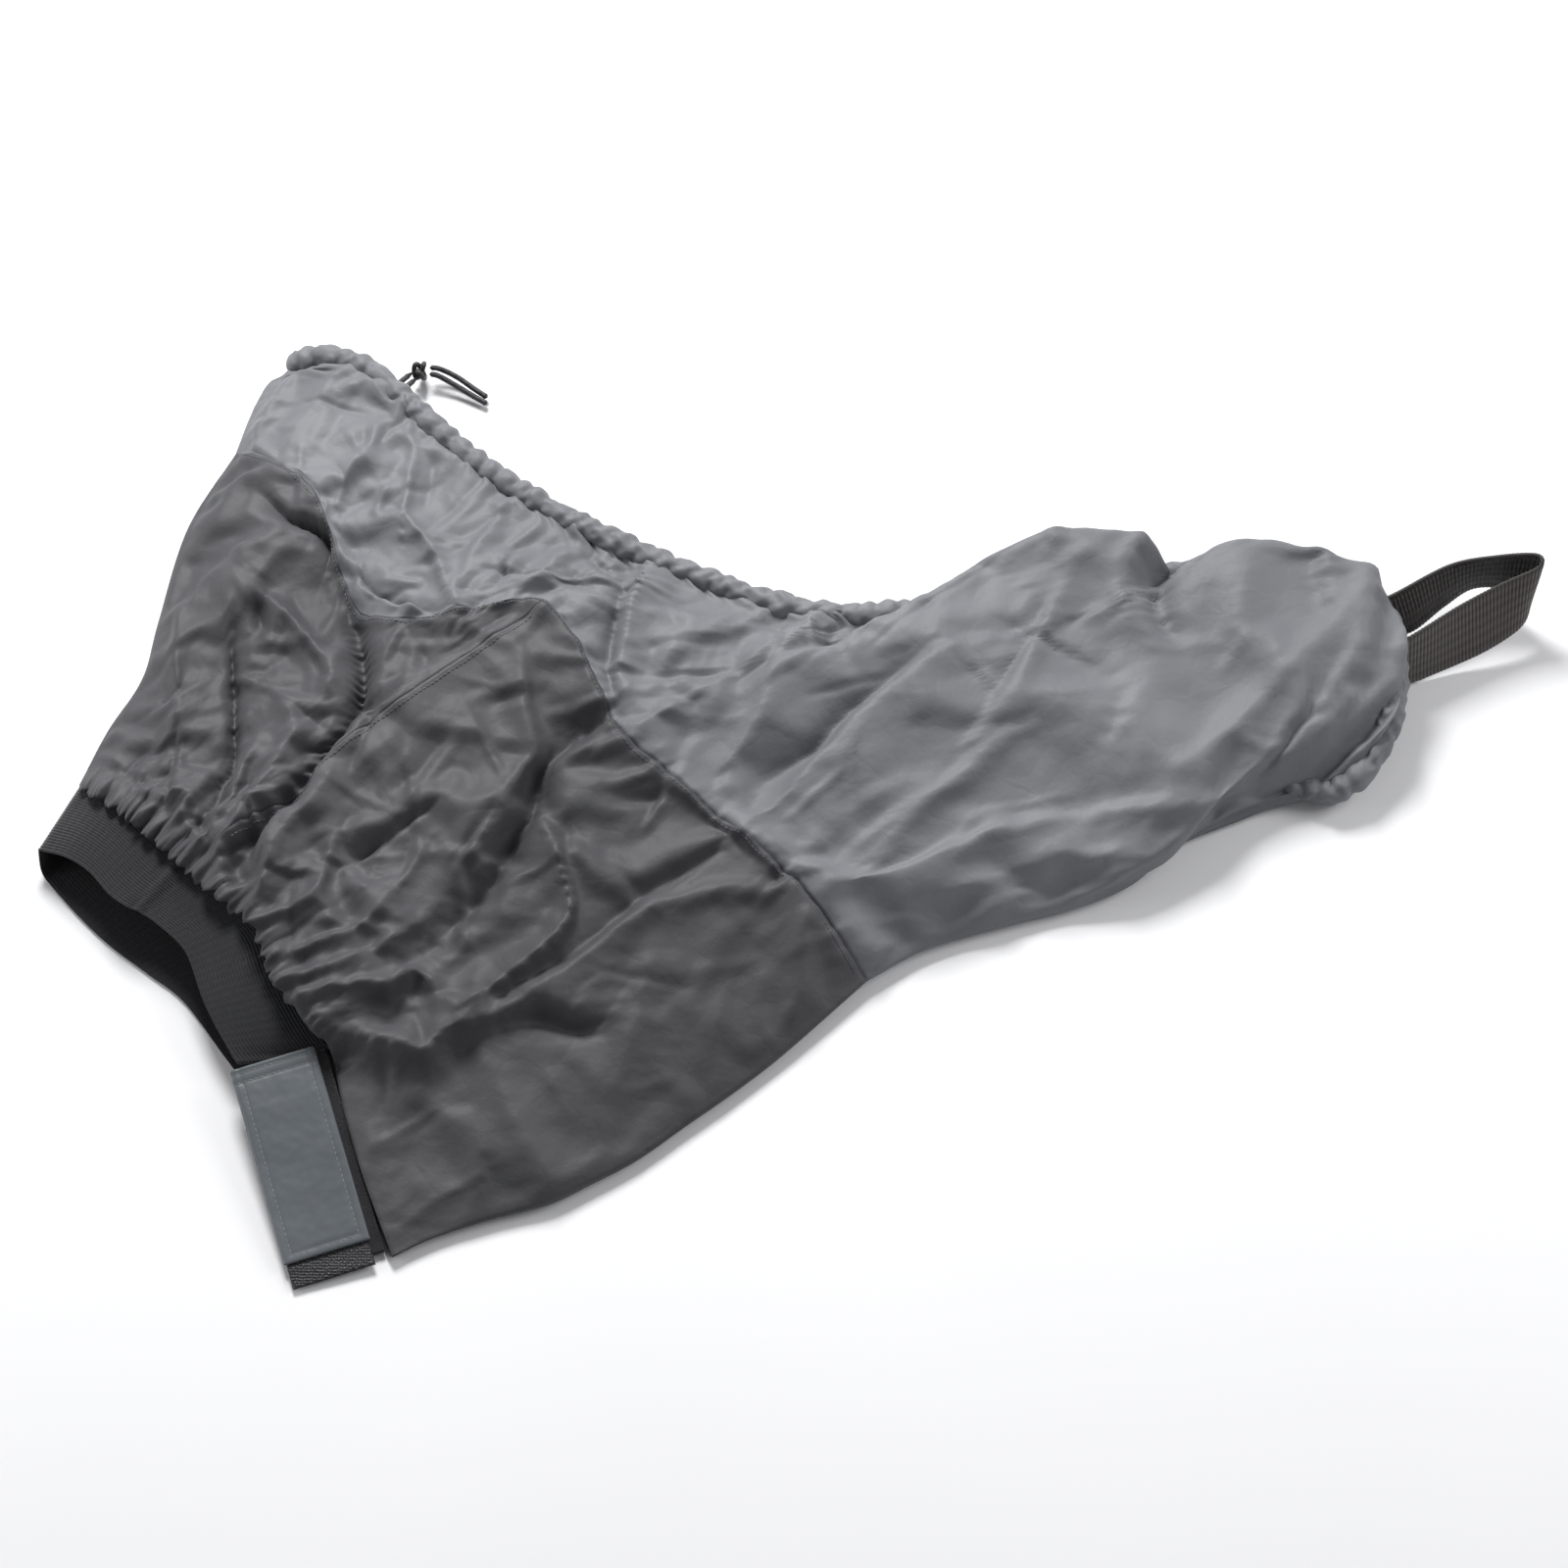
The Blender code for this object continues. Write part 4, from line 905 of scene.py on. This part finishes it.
def settleCloth(stations, grid):
    # Blender's cloth on the whole tube: it is a little too big for its place, so it buckles into creases,
    # while soft pins keep the drawn folds
    rows, columns = grid.shape[:2]
    scale = settling["scale"] / 1000
    points = grid * scale
    made = meshObject("settlingCloth", points, gridFaces(rows, columns, True), finishes["coatedNylon"])
    held = np.full((rows, columns), settling["hold"])
    rowPlace = np.arange(rows)
    held[(rowPlace < 3) | (rowPlace > rows - 4)] = 1.0
    held[np.abs(rowPlace - seamRow) < 1] = settling["seamHold"]
    held[:, stations > 1] = 1.0
    held[:, np.minimum(stations, 1 - stations) < 0.012] = 1.0
    group = made.vertex_groups.new(name="held")
    levels = np.round(held.ravel(), 2)
    for level in np.unique(levels):
        group.add(np.flatnonzero(levels == level).tolist(), float(level), "REPLACE")
    bpy.context.view_layer.objects.active = made
    cloth = made.modifiers.new("cloth", "CLOTH")
    rules = cloth.settings
    for rule, value in settling["solver"].items():
        setattr(rules, rule, value)
    rules.vertex_group_mass = "held"
    rules.shrink_min = -settling["growth"]
    rules.effector_weights.gravity = settling["gravity"]
    cloth.collision_settings.use_collision = False
    cloth.point_cache.frame_start, cloth.point_cache.frame_end = 1, settling["frames"]
    scene = bpy.context.scene
    for number in range(1, settling["frames"] + 1):
        scene.frame_set(number)
    solved = made.evaluated_get(bpy.context.evaluated_depsgraph_get()).data
    moved = np.empty(rows * columns * 3, np.float32)
    solved.vertices.foreach_get("co", moved)
    moved = moved.reshape(rows, columns, 3) / scale - grid
    far = np.linalg.norm(moved, axis=-1, keepdims=True)
    moved *= np.minimum(1, settling["farthest"] / np.maximum(far, 1e-6))
    print(f"  mean move {far[:, stations < 1].mean():.2f} mm, farthest {far.max():.2f}")
    bpy.data.objects.remove(made)
    scene.frame_set(1)
    for turn in range(settling["evened"]):
        moved[1:-1] = (moved[:-2] + 2 * moved[1:-1] + moved[2:]) / 4
        moved = (np.roll(moved, 1, axis=1) + 2 * moved + np.roll(moved, -1, axis=1)) / 4
    settled = grid + moved * (1 - settling["calm"] * smoothFront(stations, rows))[..., None]
    near = stations <= 1
    settled[:, near, 2] = rounded(settled[:, near, 2])
    return settled


def halved(grid, closed):
    # a place between each two rows: (9 (b + c) - a - d) / 16 of the four rows around it
    ends = grid[[-1, 0, 1]] if closed else (2 * grid[-1:] - grid[-2:-1])
    starts = grid[-1:] if closed else (2 * grid[:1] - grid[1:2])
    longer = np.concatenate((starts, grid, ends[1:] if closed else ends))
    count = len(grid) if closed else len(grid) - 1
    between = (9 * (longer[1:count + 1] + longer[2:count + 2]) - longer[:count] - longer[3:count + 3]) / 16
    both = np.empty((len(grid) + count, *grid.shape[1:]))
    both[::2], both[1::2] = grid, between
    return both


def pressCreases(stations, grid):
    # the sharp small creases, and the ruffle where the cloth is gathered on to the waist elastic: its edge
    # goes out over the elastic, and up, by a gather wave that fades within a centimetre
    near = np.flatnonzero(stations <= 1)
    cloth = grid[:, near]
    spots = cloth[..., :2].reshape(-1, 2)
    rng = np.random.default_rng(creases["seed"])
    lift = creaseHeight(spots, chosenCreases(spots, rng)).reshape(cloth.shape[:2])
    rise = np.clip(np.sin(np.pi * stations[near]), 0, None) ** 0.4
    cloth[..., 2] += lift * rise * (1 - creases["calm"] * smoothFront(stations[near], len(grid)))
    walked = walkedAlong(cloth[0])
    gathered = 1 - smoothStep(*pleats["ruffleEnd"], ringShares(stations[near], "waist"))
    gathered *= smoothStep(0, 0.02, stations[near])
    wave = pleatWave(walked, pleats["waistSpacing"], 21) * gathered
    finerWave = pleatWave(walked, pleats["waistSpacing"] * 0.45, 23) * gathered
    away = cloth[0] - cloth[6]
    away /= np.linalg.norm(away, axis=1)[:, None]
    walkedDown = np.cumsum(np.linalg.norm(np.diff(cloth, axis=0, prepend=cloth[:1]), axis=-1), axis=0)
    fade = np.exp(-(walkedDown / pleats["ruffleFade"]) ** 2)
    out = (pleats["ruffleReach"] * wave + pleats["ruffleFine"] * finerWave) * fade
    cloth += away[None] * out[..., None]
    cloth[..., 2] += pleats["ruffleLift"] * (wave + 0.3 * finerWave) * np.exp(-((walkedDown - 5) / 6) ** 2)
    cloth[..., 2] = rounded(cloth[..., 2])
    grid[:, near] = cloth
    far = np.flatnonzero(stations > 1)
    spots = grid[:, far, :2].reshape(-1, 2)
    pressed = creaseHeight(spots, chosenCreases(spots, rng)).reshape(len(grid), len(far))
    under = np.sin(np.pi * (stations[far] - 1)) ** 0.5
    underHeight = grid[1:-3, far, 2] + creases["farShare"] * (pressed * under)[1:-3]
    grid[1:-3, far, 2] = np.clip(underHeight, *creases["farHeights"])
    return grid


clothGrid = settleCloth(stations, clothGrid)
clothGrid = halved(clothGrid, False)
clothGrid = np.swapaxes(halved(np.swapaxes(clothGrid, 0, 1), True), 0, 1)
stations = halved(stations[:, None], False)[:, 0]
stations = np.append(stations, (stations[-1] + 2) / 2)
seamRow *= 2
clothGrid = pressCreases(stations, clothGrid)
columnCount = len(stations)


def makeCloth(name, rows, columns, finish):
    # one panel, cut out of the tube's rows and columns
    grid = placed(clothGrid)[rows[0]:rows[1] + 1]
    grid[..., 2] = np.maximum(grid[..., 2], 0.0008)
    closed = columns is None
    if not closed:
        grid = np.take(grid, np.arange(columns[0], columns[1] + 1) % columnCount, axis=1)
    made = gridObject(name, grid, finish, closed=closed)
    thicken(made, 0.0004)
    return made


splitColumn = int(round(tube["splitStation"] * tube["nearColumns"])) * 2
farSplit = (tube["nearColumns"] + int(round(tube["farSplit"] * tube["farColumns"]))) * 2
deckCloth = makeCloth("deckCloth", (seamRow, len(clothGrid) - 1), None, finishes["coatedNylon"])
frontCloth = makeCloth("tunnelFrontCloth", (0, seamRow), (splitColumn, farSplit), finishes["plainNylon"])
rearCloth = makeCloth("tunnelRearCloth", (0, seamRow), (farSplit, columnCount + splitColumn),
                      finishes["plainNylon"])

print("rim hem")

hem = {
    "along": 760,              # profiles round the rim
    "around": 20,
    "lump": 0.52,              # how far a gather stands out, as a share of the radius
    "second": 0.13,            # and the small ones between
    "crumple": 0.09,
    "swell": 0.26,             # how the hem's thickness wanders
    "skew": 1.6,               # how far a slit wanders round the hem
}


def hemPath():
    share = np.linspace(0, 1, hem["along"] // 2, endpoint=False)
    near = curveThrough(tube["rimNear"], share)
    far = curveThrough(tube["rimFar"], 1 - share)
    return placed(np.vstack((near, far)))


def makeHem():
    # a round profile along the rim, with a radius of 1 + lump (gather wave - 0.55); the wave's phase turns
    # with the angle, so that each slit runs aslant, and a finer wave crumples the tops
    path = hemPath()
    loop = np.vstack((path[-3:], path, path[:3]))
    walked = walkedAlong(loop)[:, None] * 1000
    turn = np.linspace(0, 2 * np.pi, hem["around"], endpoint=False)[None]
    spacing = pleats["rimSpacing"]
    slant = hem["skew"] * spacing / 3 * noise(np.cos(turn) * 1.2 + walked / 40, np.sin(turn) * 1.2, 51)
    wave = pleatWave(walked + slant, spacing, 31)
    second = pleatWave(walked + slant * 2 + 4, spacing * 0.53, 33)
    crumple = noise(walked / 5.5, 2.2 * np.cos(turn) + 2.2 * np.sin(turn), 52)
    bulge = 1 + hem["lump"] * (wave - 0.55) + hem["second"] * (second - 0.5) + hem["crumple"] * crumple
    swell = 1 + hem["swell"] * noise(walked / 21, turn * 0, 53)
    grid = tubeGrid(loop, tube["hemRadius"] / 1000 * bulge * swell, hem["around"])[3:-3]
    grid[..., 2] = np.maximum(grid[..., 2], 0.0006)
    made = gridObject("rimHem", grid, finishes["coatedNylon"], closed=True)
    joinRing(made)
    finer(made)
    return made


rimHem = makeHem()

print("waist elastic")

elastic = {
    # places along the free edges, from the tab round the left fold to the far end
    "nearFree": [(-298, -197, 17.5), (-305, -186, 18), (-319, -160, 19.5), (-332, -129, 21),
                 (-350, -111, 22), (-361, -104, 22.5), (-368, -101, 24), (-378, -93, 23), (-391, -78, 22),
                 (-405, -68, 20), (-421, -61, 15)],
    "farFree": [(-421, -61, 15), (-420, -70, 5), (-414, -78, 2.2), (-395, -99, 1.6), (-377, -116, 1.6),
                (-355, -133, 1.6), (-334, -150, 1.6), (-310, -182, 1.6), (-301, -194, 1.6)],
    "ribs": 26,
    "ribHeight": 0.42,
    "wall": 1.1,
    "tuck": 5,                 # how far the band goes in under the gathered cloth
    "places": 110,             # along each side
    "waistEnd": 0.66,          # where it ends, as a share of the waist
    "dropped": 4.5,            # how far it lies below the gathered edge
    "farHeight": 1.6,          # how high it lies on the far side
}


def gridNormals(grid):
    normal = np.cross(np.gradient(grid, axis=1), np.gradient(grid, axis=0))
    return normal / np.maximum(np.linalg.norm(normal, axis=-1, keepdims=True), 1e-12)


def makeElastic():
    # a ruled band between its free edge and the gathered line; ribs are a rounded wave across it, and a
    # pressed fold crosses it a third of the way along
    places = elastic["places"]
    share = np.linspace(0, 1, places)
    gatherLine = curveThrough(tube["waistNear"], share[::-1] * elastic["waistEnd"])
    farLine = curveThrough(tube["waistFar"], share * elastic["waistEnd"])
    nearFree, farFree = curveThrough(elastic["nearFree"], share), curveThrough(elastic["farFree"], share)
    outer = np.vstack((nearFree, farFree[1:]))
    inner = np.vstack((gatherLine, farLine[1:]))
    inner[:places, 2] -= elastic["dropped"]
    inner[places:, 2] = elastic["farHeight"]
    away = outer - inner
    away /= np.linalg.norm(away, axis=1)[:, None]
    inner = inner - away * elastic["tuck"]
    across = np.linspace(0, 1, elastic["ribs"] * 4 + 1)[:, None, None]
    grid = outer * (1 - across) + inner * across
    wave = np.abs(np.sin(np.pi * across[..., 0] * elastic["ribs"])) ** 0.8
    wave[:2] = 1.3                        # the woven edge stands a little proud
    along = np.concatenate((share, 1 + share[1:]))
    sag = 1.6 * np.sin(np.pi * across[..., 0]) * np.sin(along * 9.0)
    press = 1.5 * np.exp(-((along - 0.60 - 0.05 * across[..., 0]) / 0.012) ** 2)
    normal = gridNormals(grid)
    normal *= np.where(normal[:, :1, 2:] < 0, -1, 1)
    near = (along < 1)[None]
    grid = grid + normal * (elastic["ribHeight"] * wave + np.where(near, press + sag, 0.0))[..., None]
    grid = placed(grid)
    grid[..., 2] = np.maximum(grid[..., 2], elastic["farHeight"] / 1000)
    made = gridObject("waistElastic", grid, finishes["knittedElastic"])
    thicken(made, elastic["wall"] / 1000, -1)
    return made


waistElastic = makeElastic()

print("pull tab and tapes")

tab = {
    "head": [(-301.5, -200.0, 19.0), (-257.5, -186.0, 20.5)],    # outer and inner corner of its seam
    "foot": [(-267.0, -308.0, 6.2), (-220.5, -296.0, 6.6)],
    "width": 48, "length": 116, "wall": 1.3,
    "hookWall": 1.3, "hookLength": 70, "hookOverhang": 14,
    "loopWall": 1.2, "loopWidth": 46, "loopLength": 122, "loopAside": 6.5,
    "stitch": 3.2,             # millimetres from one stitch to the next
}


def tabFrame():
    head, foot = np.mean(tab["head"], axis=0), np.mean(tab["foot"], axis=0)
    along = (foot - head) / np.linalg.norm(foot - head)
    side = np.subtract(tab["head"][1], tab["head"][0])
    up = np.cross(along, side)
    up /= np.linalg.norm(up)
    return head + along * 1.4, along, np.cross(up, along), up


def stripGrid(start, along, across, up, length, width, rows, columns, height):
    # a flat strip; height(lengthwise, crosswise) in millimetres lifts it along its own up direction
    down = np.linspace(0, length, rows)[:, None, None]
    side = np.linspace(-width / 2, width / 2, columns)[:, None]
    lift = height(down[..., 0], side[:, 0][None])[..., None]
    return start + down * along + side * across + lift * up


def stitches(name, path, up, finish, pitch, thickness=0.42, share=0.74, sink=0.1):
    # a row of short rounded threads: one small capsule, 6 rings of 6 places, carried to each stitch
    walked = walkedAlong(path)
    count = max(2, int(walked[-1] * 1000 / pitch))
    spots = (np.arange(count) + 0.5) / count * walked[-1]
    place = np.stack([np.interp(spots, walked, path[:, k]) for k in range(3)], axis=1)
    beyond, before = spots + 1e-4, spots - 1e-4
    ahead = np.stack([np.interp(beyond, walked, axis) - np.interp(before, walked, axis) for axis in path.T],
                     axis=1)
    ahead /= np.linalg.norm(ahead, axis=1)[:, None]
    lift = np.broadcast_to(up, path.shape)
    lift = np.stack([np.interp(spots, walked, lift[:, k]) for k in range(3)], axis=1)
    side = np.cross(ahead, lift)
    side /= np.linalg.norm(side, axis=1)[:, None]
    lift = np.cross(side, ahead)
    half = pitch / 1000 * share / 2
    lengthwise = np.array((-1, -0.86, -0.4, 0.4, 0.86, 1))
    girth = np.array((0.25, 0.75, 1, 1, 0.75, 0.25))
    drop = -0.35 * np.abs(lengthwise) ** 3
    turn = np.linspace(0, 2 * np.pi, 6, endpoint=False)
    radius = thickness / 2000
    ring = lengthwise[:, None, None, None] * half * ahead
    ring = ring + (girth[:, None] * np.cos(turn))[..., None, None] * radius * side
    high = girth[:, None] * np.sin(turn) + drop[:, None] - sink
    points = (ring + high[..., None, None] * radius * lift + place).transpose(2, 0, 1, 3)
    block = gridFaces(6, 6, closed=True)
    faces = (block[None] + (np.arange(count) * 36)[:, None, None]).reshape(-1, 4)
    caps = np.array([[0, 1, 2, 3], [0, 3, 4, 5], [33, 32, 31, 30], [35, 34, 33, 30]])
    caps = (caps[None] + (np.arange(count) * 36)[:, None, None]).reshape(-1, 4)
    return meshObject(name, points, np.vstack((faces, caps)), finish)


def makeTab():
    start, along, across, up = tabFrame()
    half, length = tab["width"] / 2, tab["length"]

    def tabHeight(down, side):
        # pillowed cloth with grooves where the stitches pull it down, and one soft bend
        border = np.minimum(half - np.abs(side), length - down)
        groove = -0.34 * np.exp(-((border - 5) / 1.1) ** 2) - 0.3 * np.exp(-((down - 3) / 1.0) ** 2)
        groove -= 0.34 * np.exp(-((down - 8.5) / 1.0) ** 2)
        roll = -0.6 * np.exp(-np.maximum(border, 0) / 0.7)
        soft = 0.5 * np.sin(down / 19) + 0.35 * noise(down / 17, side / 17, 61)
        soft = soft + 0.12 * noise(down / 5, side / 5, 62)
        soft = soft * smoothStep(4, 16, down) * smoothStep(0, 8, border + 3)
        return tab["wall"] / 2 + groove + roll + soft

    grid = stripGrid(start, along, across, up, length, tab["width"], 120, 52, tabHeight)
    made = gridObject("waistTab", placed(grid)[:, ::-1], finishes["tabNylon"])
    thicken(made, tab["wall"] / 1000, -1)
    rows = []

    def row(name, down, side):
        lift = tabHeight(down, side) + 0.12
        points = start + down[:, None] * along + side[:, None] * across + lift[:, None] * up
        rows.append(stitches(name, placed(points), up, finishes["tabThread"], tab["stitch"]))

    line = np.linspace(-1, 1, 60)
    row("tabStitchHeadA", np.full(60, 3.0), line * (half - 1.5))
    row("tabStitchHeadB", np.full(60, 8.5), line * (half - 1.5))
    row("tabStitchOuter", 10 + (line + 1) / 2 * (length - 15), np.full(60, -half + 5))
    row("tabStitchInner", 10 + (line + 1) / 2 * (length - 15), np.full(60, half - 5))
    row("tabStitchFoot", np.full(60, length - 4.2), line * (half - 5))

    below = (tab["wall"] + tab["hookWall"]) / 2 + 0.5
    hookStart = start + along * (length + tab["hookOverhang"] - tab["hookLength"]) - up * below

    def hookHeight(down, side):
        border = np.minimum(half - 1 - np.abs(side), tab["hookLength"] - down)
        return tab["hookWall"] / 2 + 0.10 * noise(down / 9, side / 9, 63) - 0.5 * np.exp(-border / 0.5)

    grid = stripGrid(hookStart, along, across, up, tab["hookLength"], tab["width"] - 2, 70, 44, hookHeight)
    hook = gridObject("hookStrip", placed(grid)[:, ::-1], finishes["hookTape"])
    thicken(hook, tab["hookWall"] / 1000, -1)

    below = tab["wall"] / 2 + tab["hookWall"] + tab["loopWall"] / 2 + 1.0
    loopStart = start + along * 2 - up * below + across * tab["loopAside"]

    def pileHeight(down, side):
        return 0.35 * noise(down / 14, side / 14, 64) + 0.5 * np.sin(down / 11) * (side > 10)

    grid = stripGrid(loopStart, along, across, up, tab["loopLength"], tab["loopWidth"], 70, 40, pileHeight)
    pile = gridObject("loopStrip", placed(grid)[:, ::-1], finishes["loopTape"])
    thicken(pile, tab["loopWall"] / 1000, 0)
    return made, rows, hook, pile


waistTab, tabStitches, hookStrip, loopStrip = makeTab()

print("grab loop")

grabLoop = {
    # places along the webbing's lower and upper edge, from the near end round the tip to the far end
    "lower": [(352, 54, 3), (369, 58, 1.6), (397, 69, 4), (421, 79, 9), (440, 91, 15), (444, 104, 16.5),
              (434, 117, 16), (414, 120, 13), (396, 110, 8), (377, 96, 3), (356, 88, 4)],
    "upper": [(348, 62, 34), (366, 68, 36), (400, 90, 39), (426, 104, 42), (445, 111, 46.5),
              (450, 116, 48), (445, 121, 48), (424, 121, 46), (396, 118, 41), (364, 102, 36),
              (344, 92, 34)],
    "ribPitch": 2.3,
    "ribHeight": 0.5,
    "wall": 1.7,
}


def makeGrabLoop():
    # a ruled strap between its two edges, with ribs across it: a rounded wave along its length
    length = walkedAlong(curveThrough(grabLoop["lower"], np.linspace(0, 1, 200)))[-1]
    ribs = int(length / grabLoop["ribPitch"])
    share = np.linspace(0, 1, ribs * 6 + 1)
    low, high = curveThrough(grabLoop["lower"], share), curveThrough(grabLoop["upper"], share)
    across = np.linspace(0, 1, 26)[:, None, None]
    grid = low * (1 - across) + high * across
    wave = np.abs(np.sin(np.pi * share * ribs)) ** 0.7
    weft = 0.10 * np.sin(across[..., 0] * 2 * np.pi * 24)
    border = np.minimum(across, 1 - across)[..., 0] * 38
    height = wave * (1 - 0.5 * np.exp(-border / 0.8))
    lift = grabLoop["ribHeight"] * height + weft * wave
    normals = gridNormals(grid)
    made = gridObject("grabLoop", placed(grid + normals * lift[..., None]), finishes["wovenWebbing"])
    values = made.data.attributes.new("ribHeight", "FLOAT", "POINT")
    values.data.foreach_set("value", height.astype(np.float32).ravel())
    thicken(made, grabLoop["wall"] / 1000, -1)
    # bars of stitching across both ends, where the hem holds them
    bars = []
    for name, column in (("grabLoopBarA", 8), ("grabLoopBarB", len(share) - 9)):
        points, up = placed(grid[2:-2, column] + normals[2:-2, column] * 0.7), normals[2:-2, column]
        bars.append(stitches(name, points, up, finishes["barThread"], 1.4, 0.8, 0.95))
    return made, bars


webbing, loopBars = makeGrabLoop()

print("seam stitching")


def surfaceLine(rowPlace, columns):
    # places on the cloth at a row and a fraction
    low = int(math.floor(rowPlace))
    share = rowPlace - low
    rows = np.take(clothGrid, columns % columnCount, axis=1)
    return rows[low] * (1 - share) + rows[low + 1] * share


def makeSeams():
    columns = np.arange(4, 2 * tube["nearColumns"] - 4)
    line = surfaceLine(seamRow - 1.5, columns)
    normals = gridNormals(clothGrid)
    normals = normals * np.where(normals[..., 2:] < 0, -1, 1)
    rows = np.arange(12, seamRow - 6)
    side = clothGrid[rows, splitColumn + 2]
    seams = []
    for name, points, up in (("seamStitches", line, normals[seamRow, columns]),
                             ("sideSeamStitches", side, normals[rows, splitColumn + 2])):
        seams.append(stitches(name, placed(points + up * 0.55), up, finishes["deckThread"], 3.0, 0.45))
    return seams


seamStitches, sideStitches = makeSeams()

for piece in (deckCloth, frontCloth, rearCloth, seamStitches, sideStitches):
    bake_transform(piece)
for piece in (webbing, *loopBars):
    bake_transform(piece)
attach(rimHem, "skirt")
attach(waistElastic, "tunnel")
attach(loopStrip, "tunnel")
for piece in (waistTab, hookStrip, *tabStitches):
    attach(piece, "waist_tab")
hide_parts("deck_panel")
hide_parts("tunnel_front_panel")
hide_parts("tunnel_rear_panel")
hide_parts("rim_hem_casing", "rim_bungee")
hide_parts("waist_elastic")
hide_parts("waist_tab_cover")
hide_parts("hook_strip")
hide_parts("loop_strip")
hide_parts("grab_loop")
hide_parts("grab_loop_bartack")
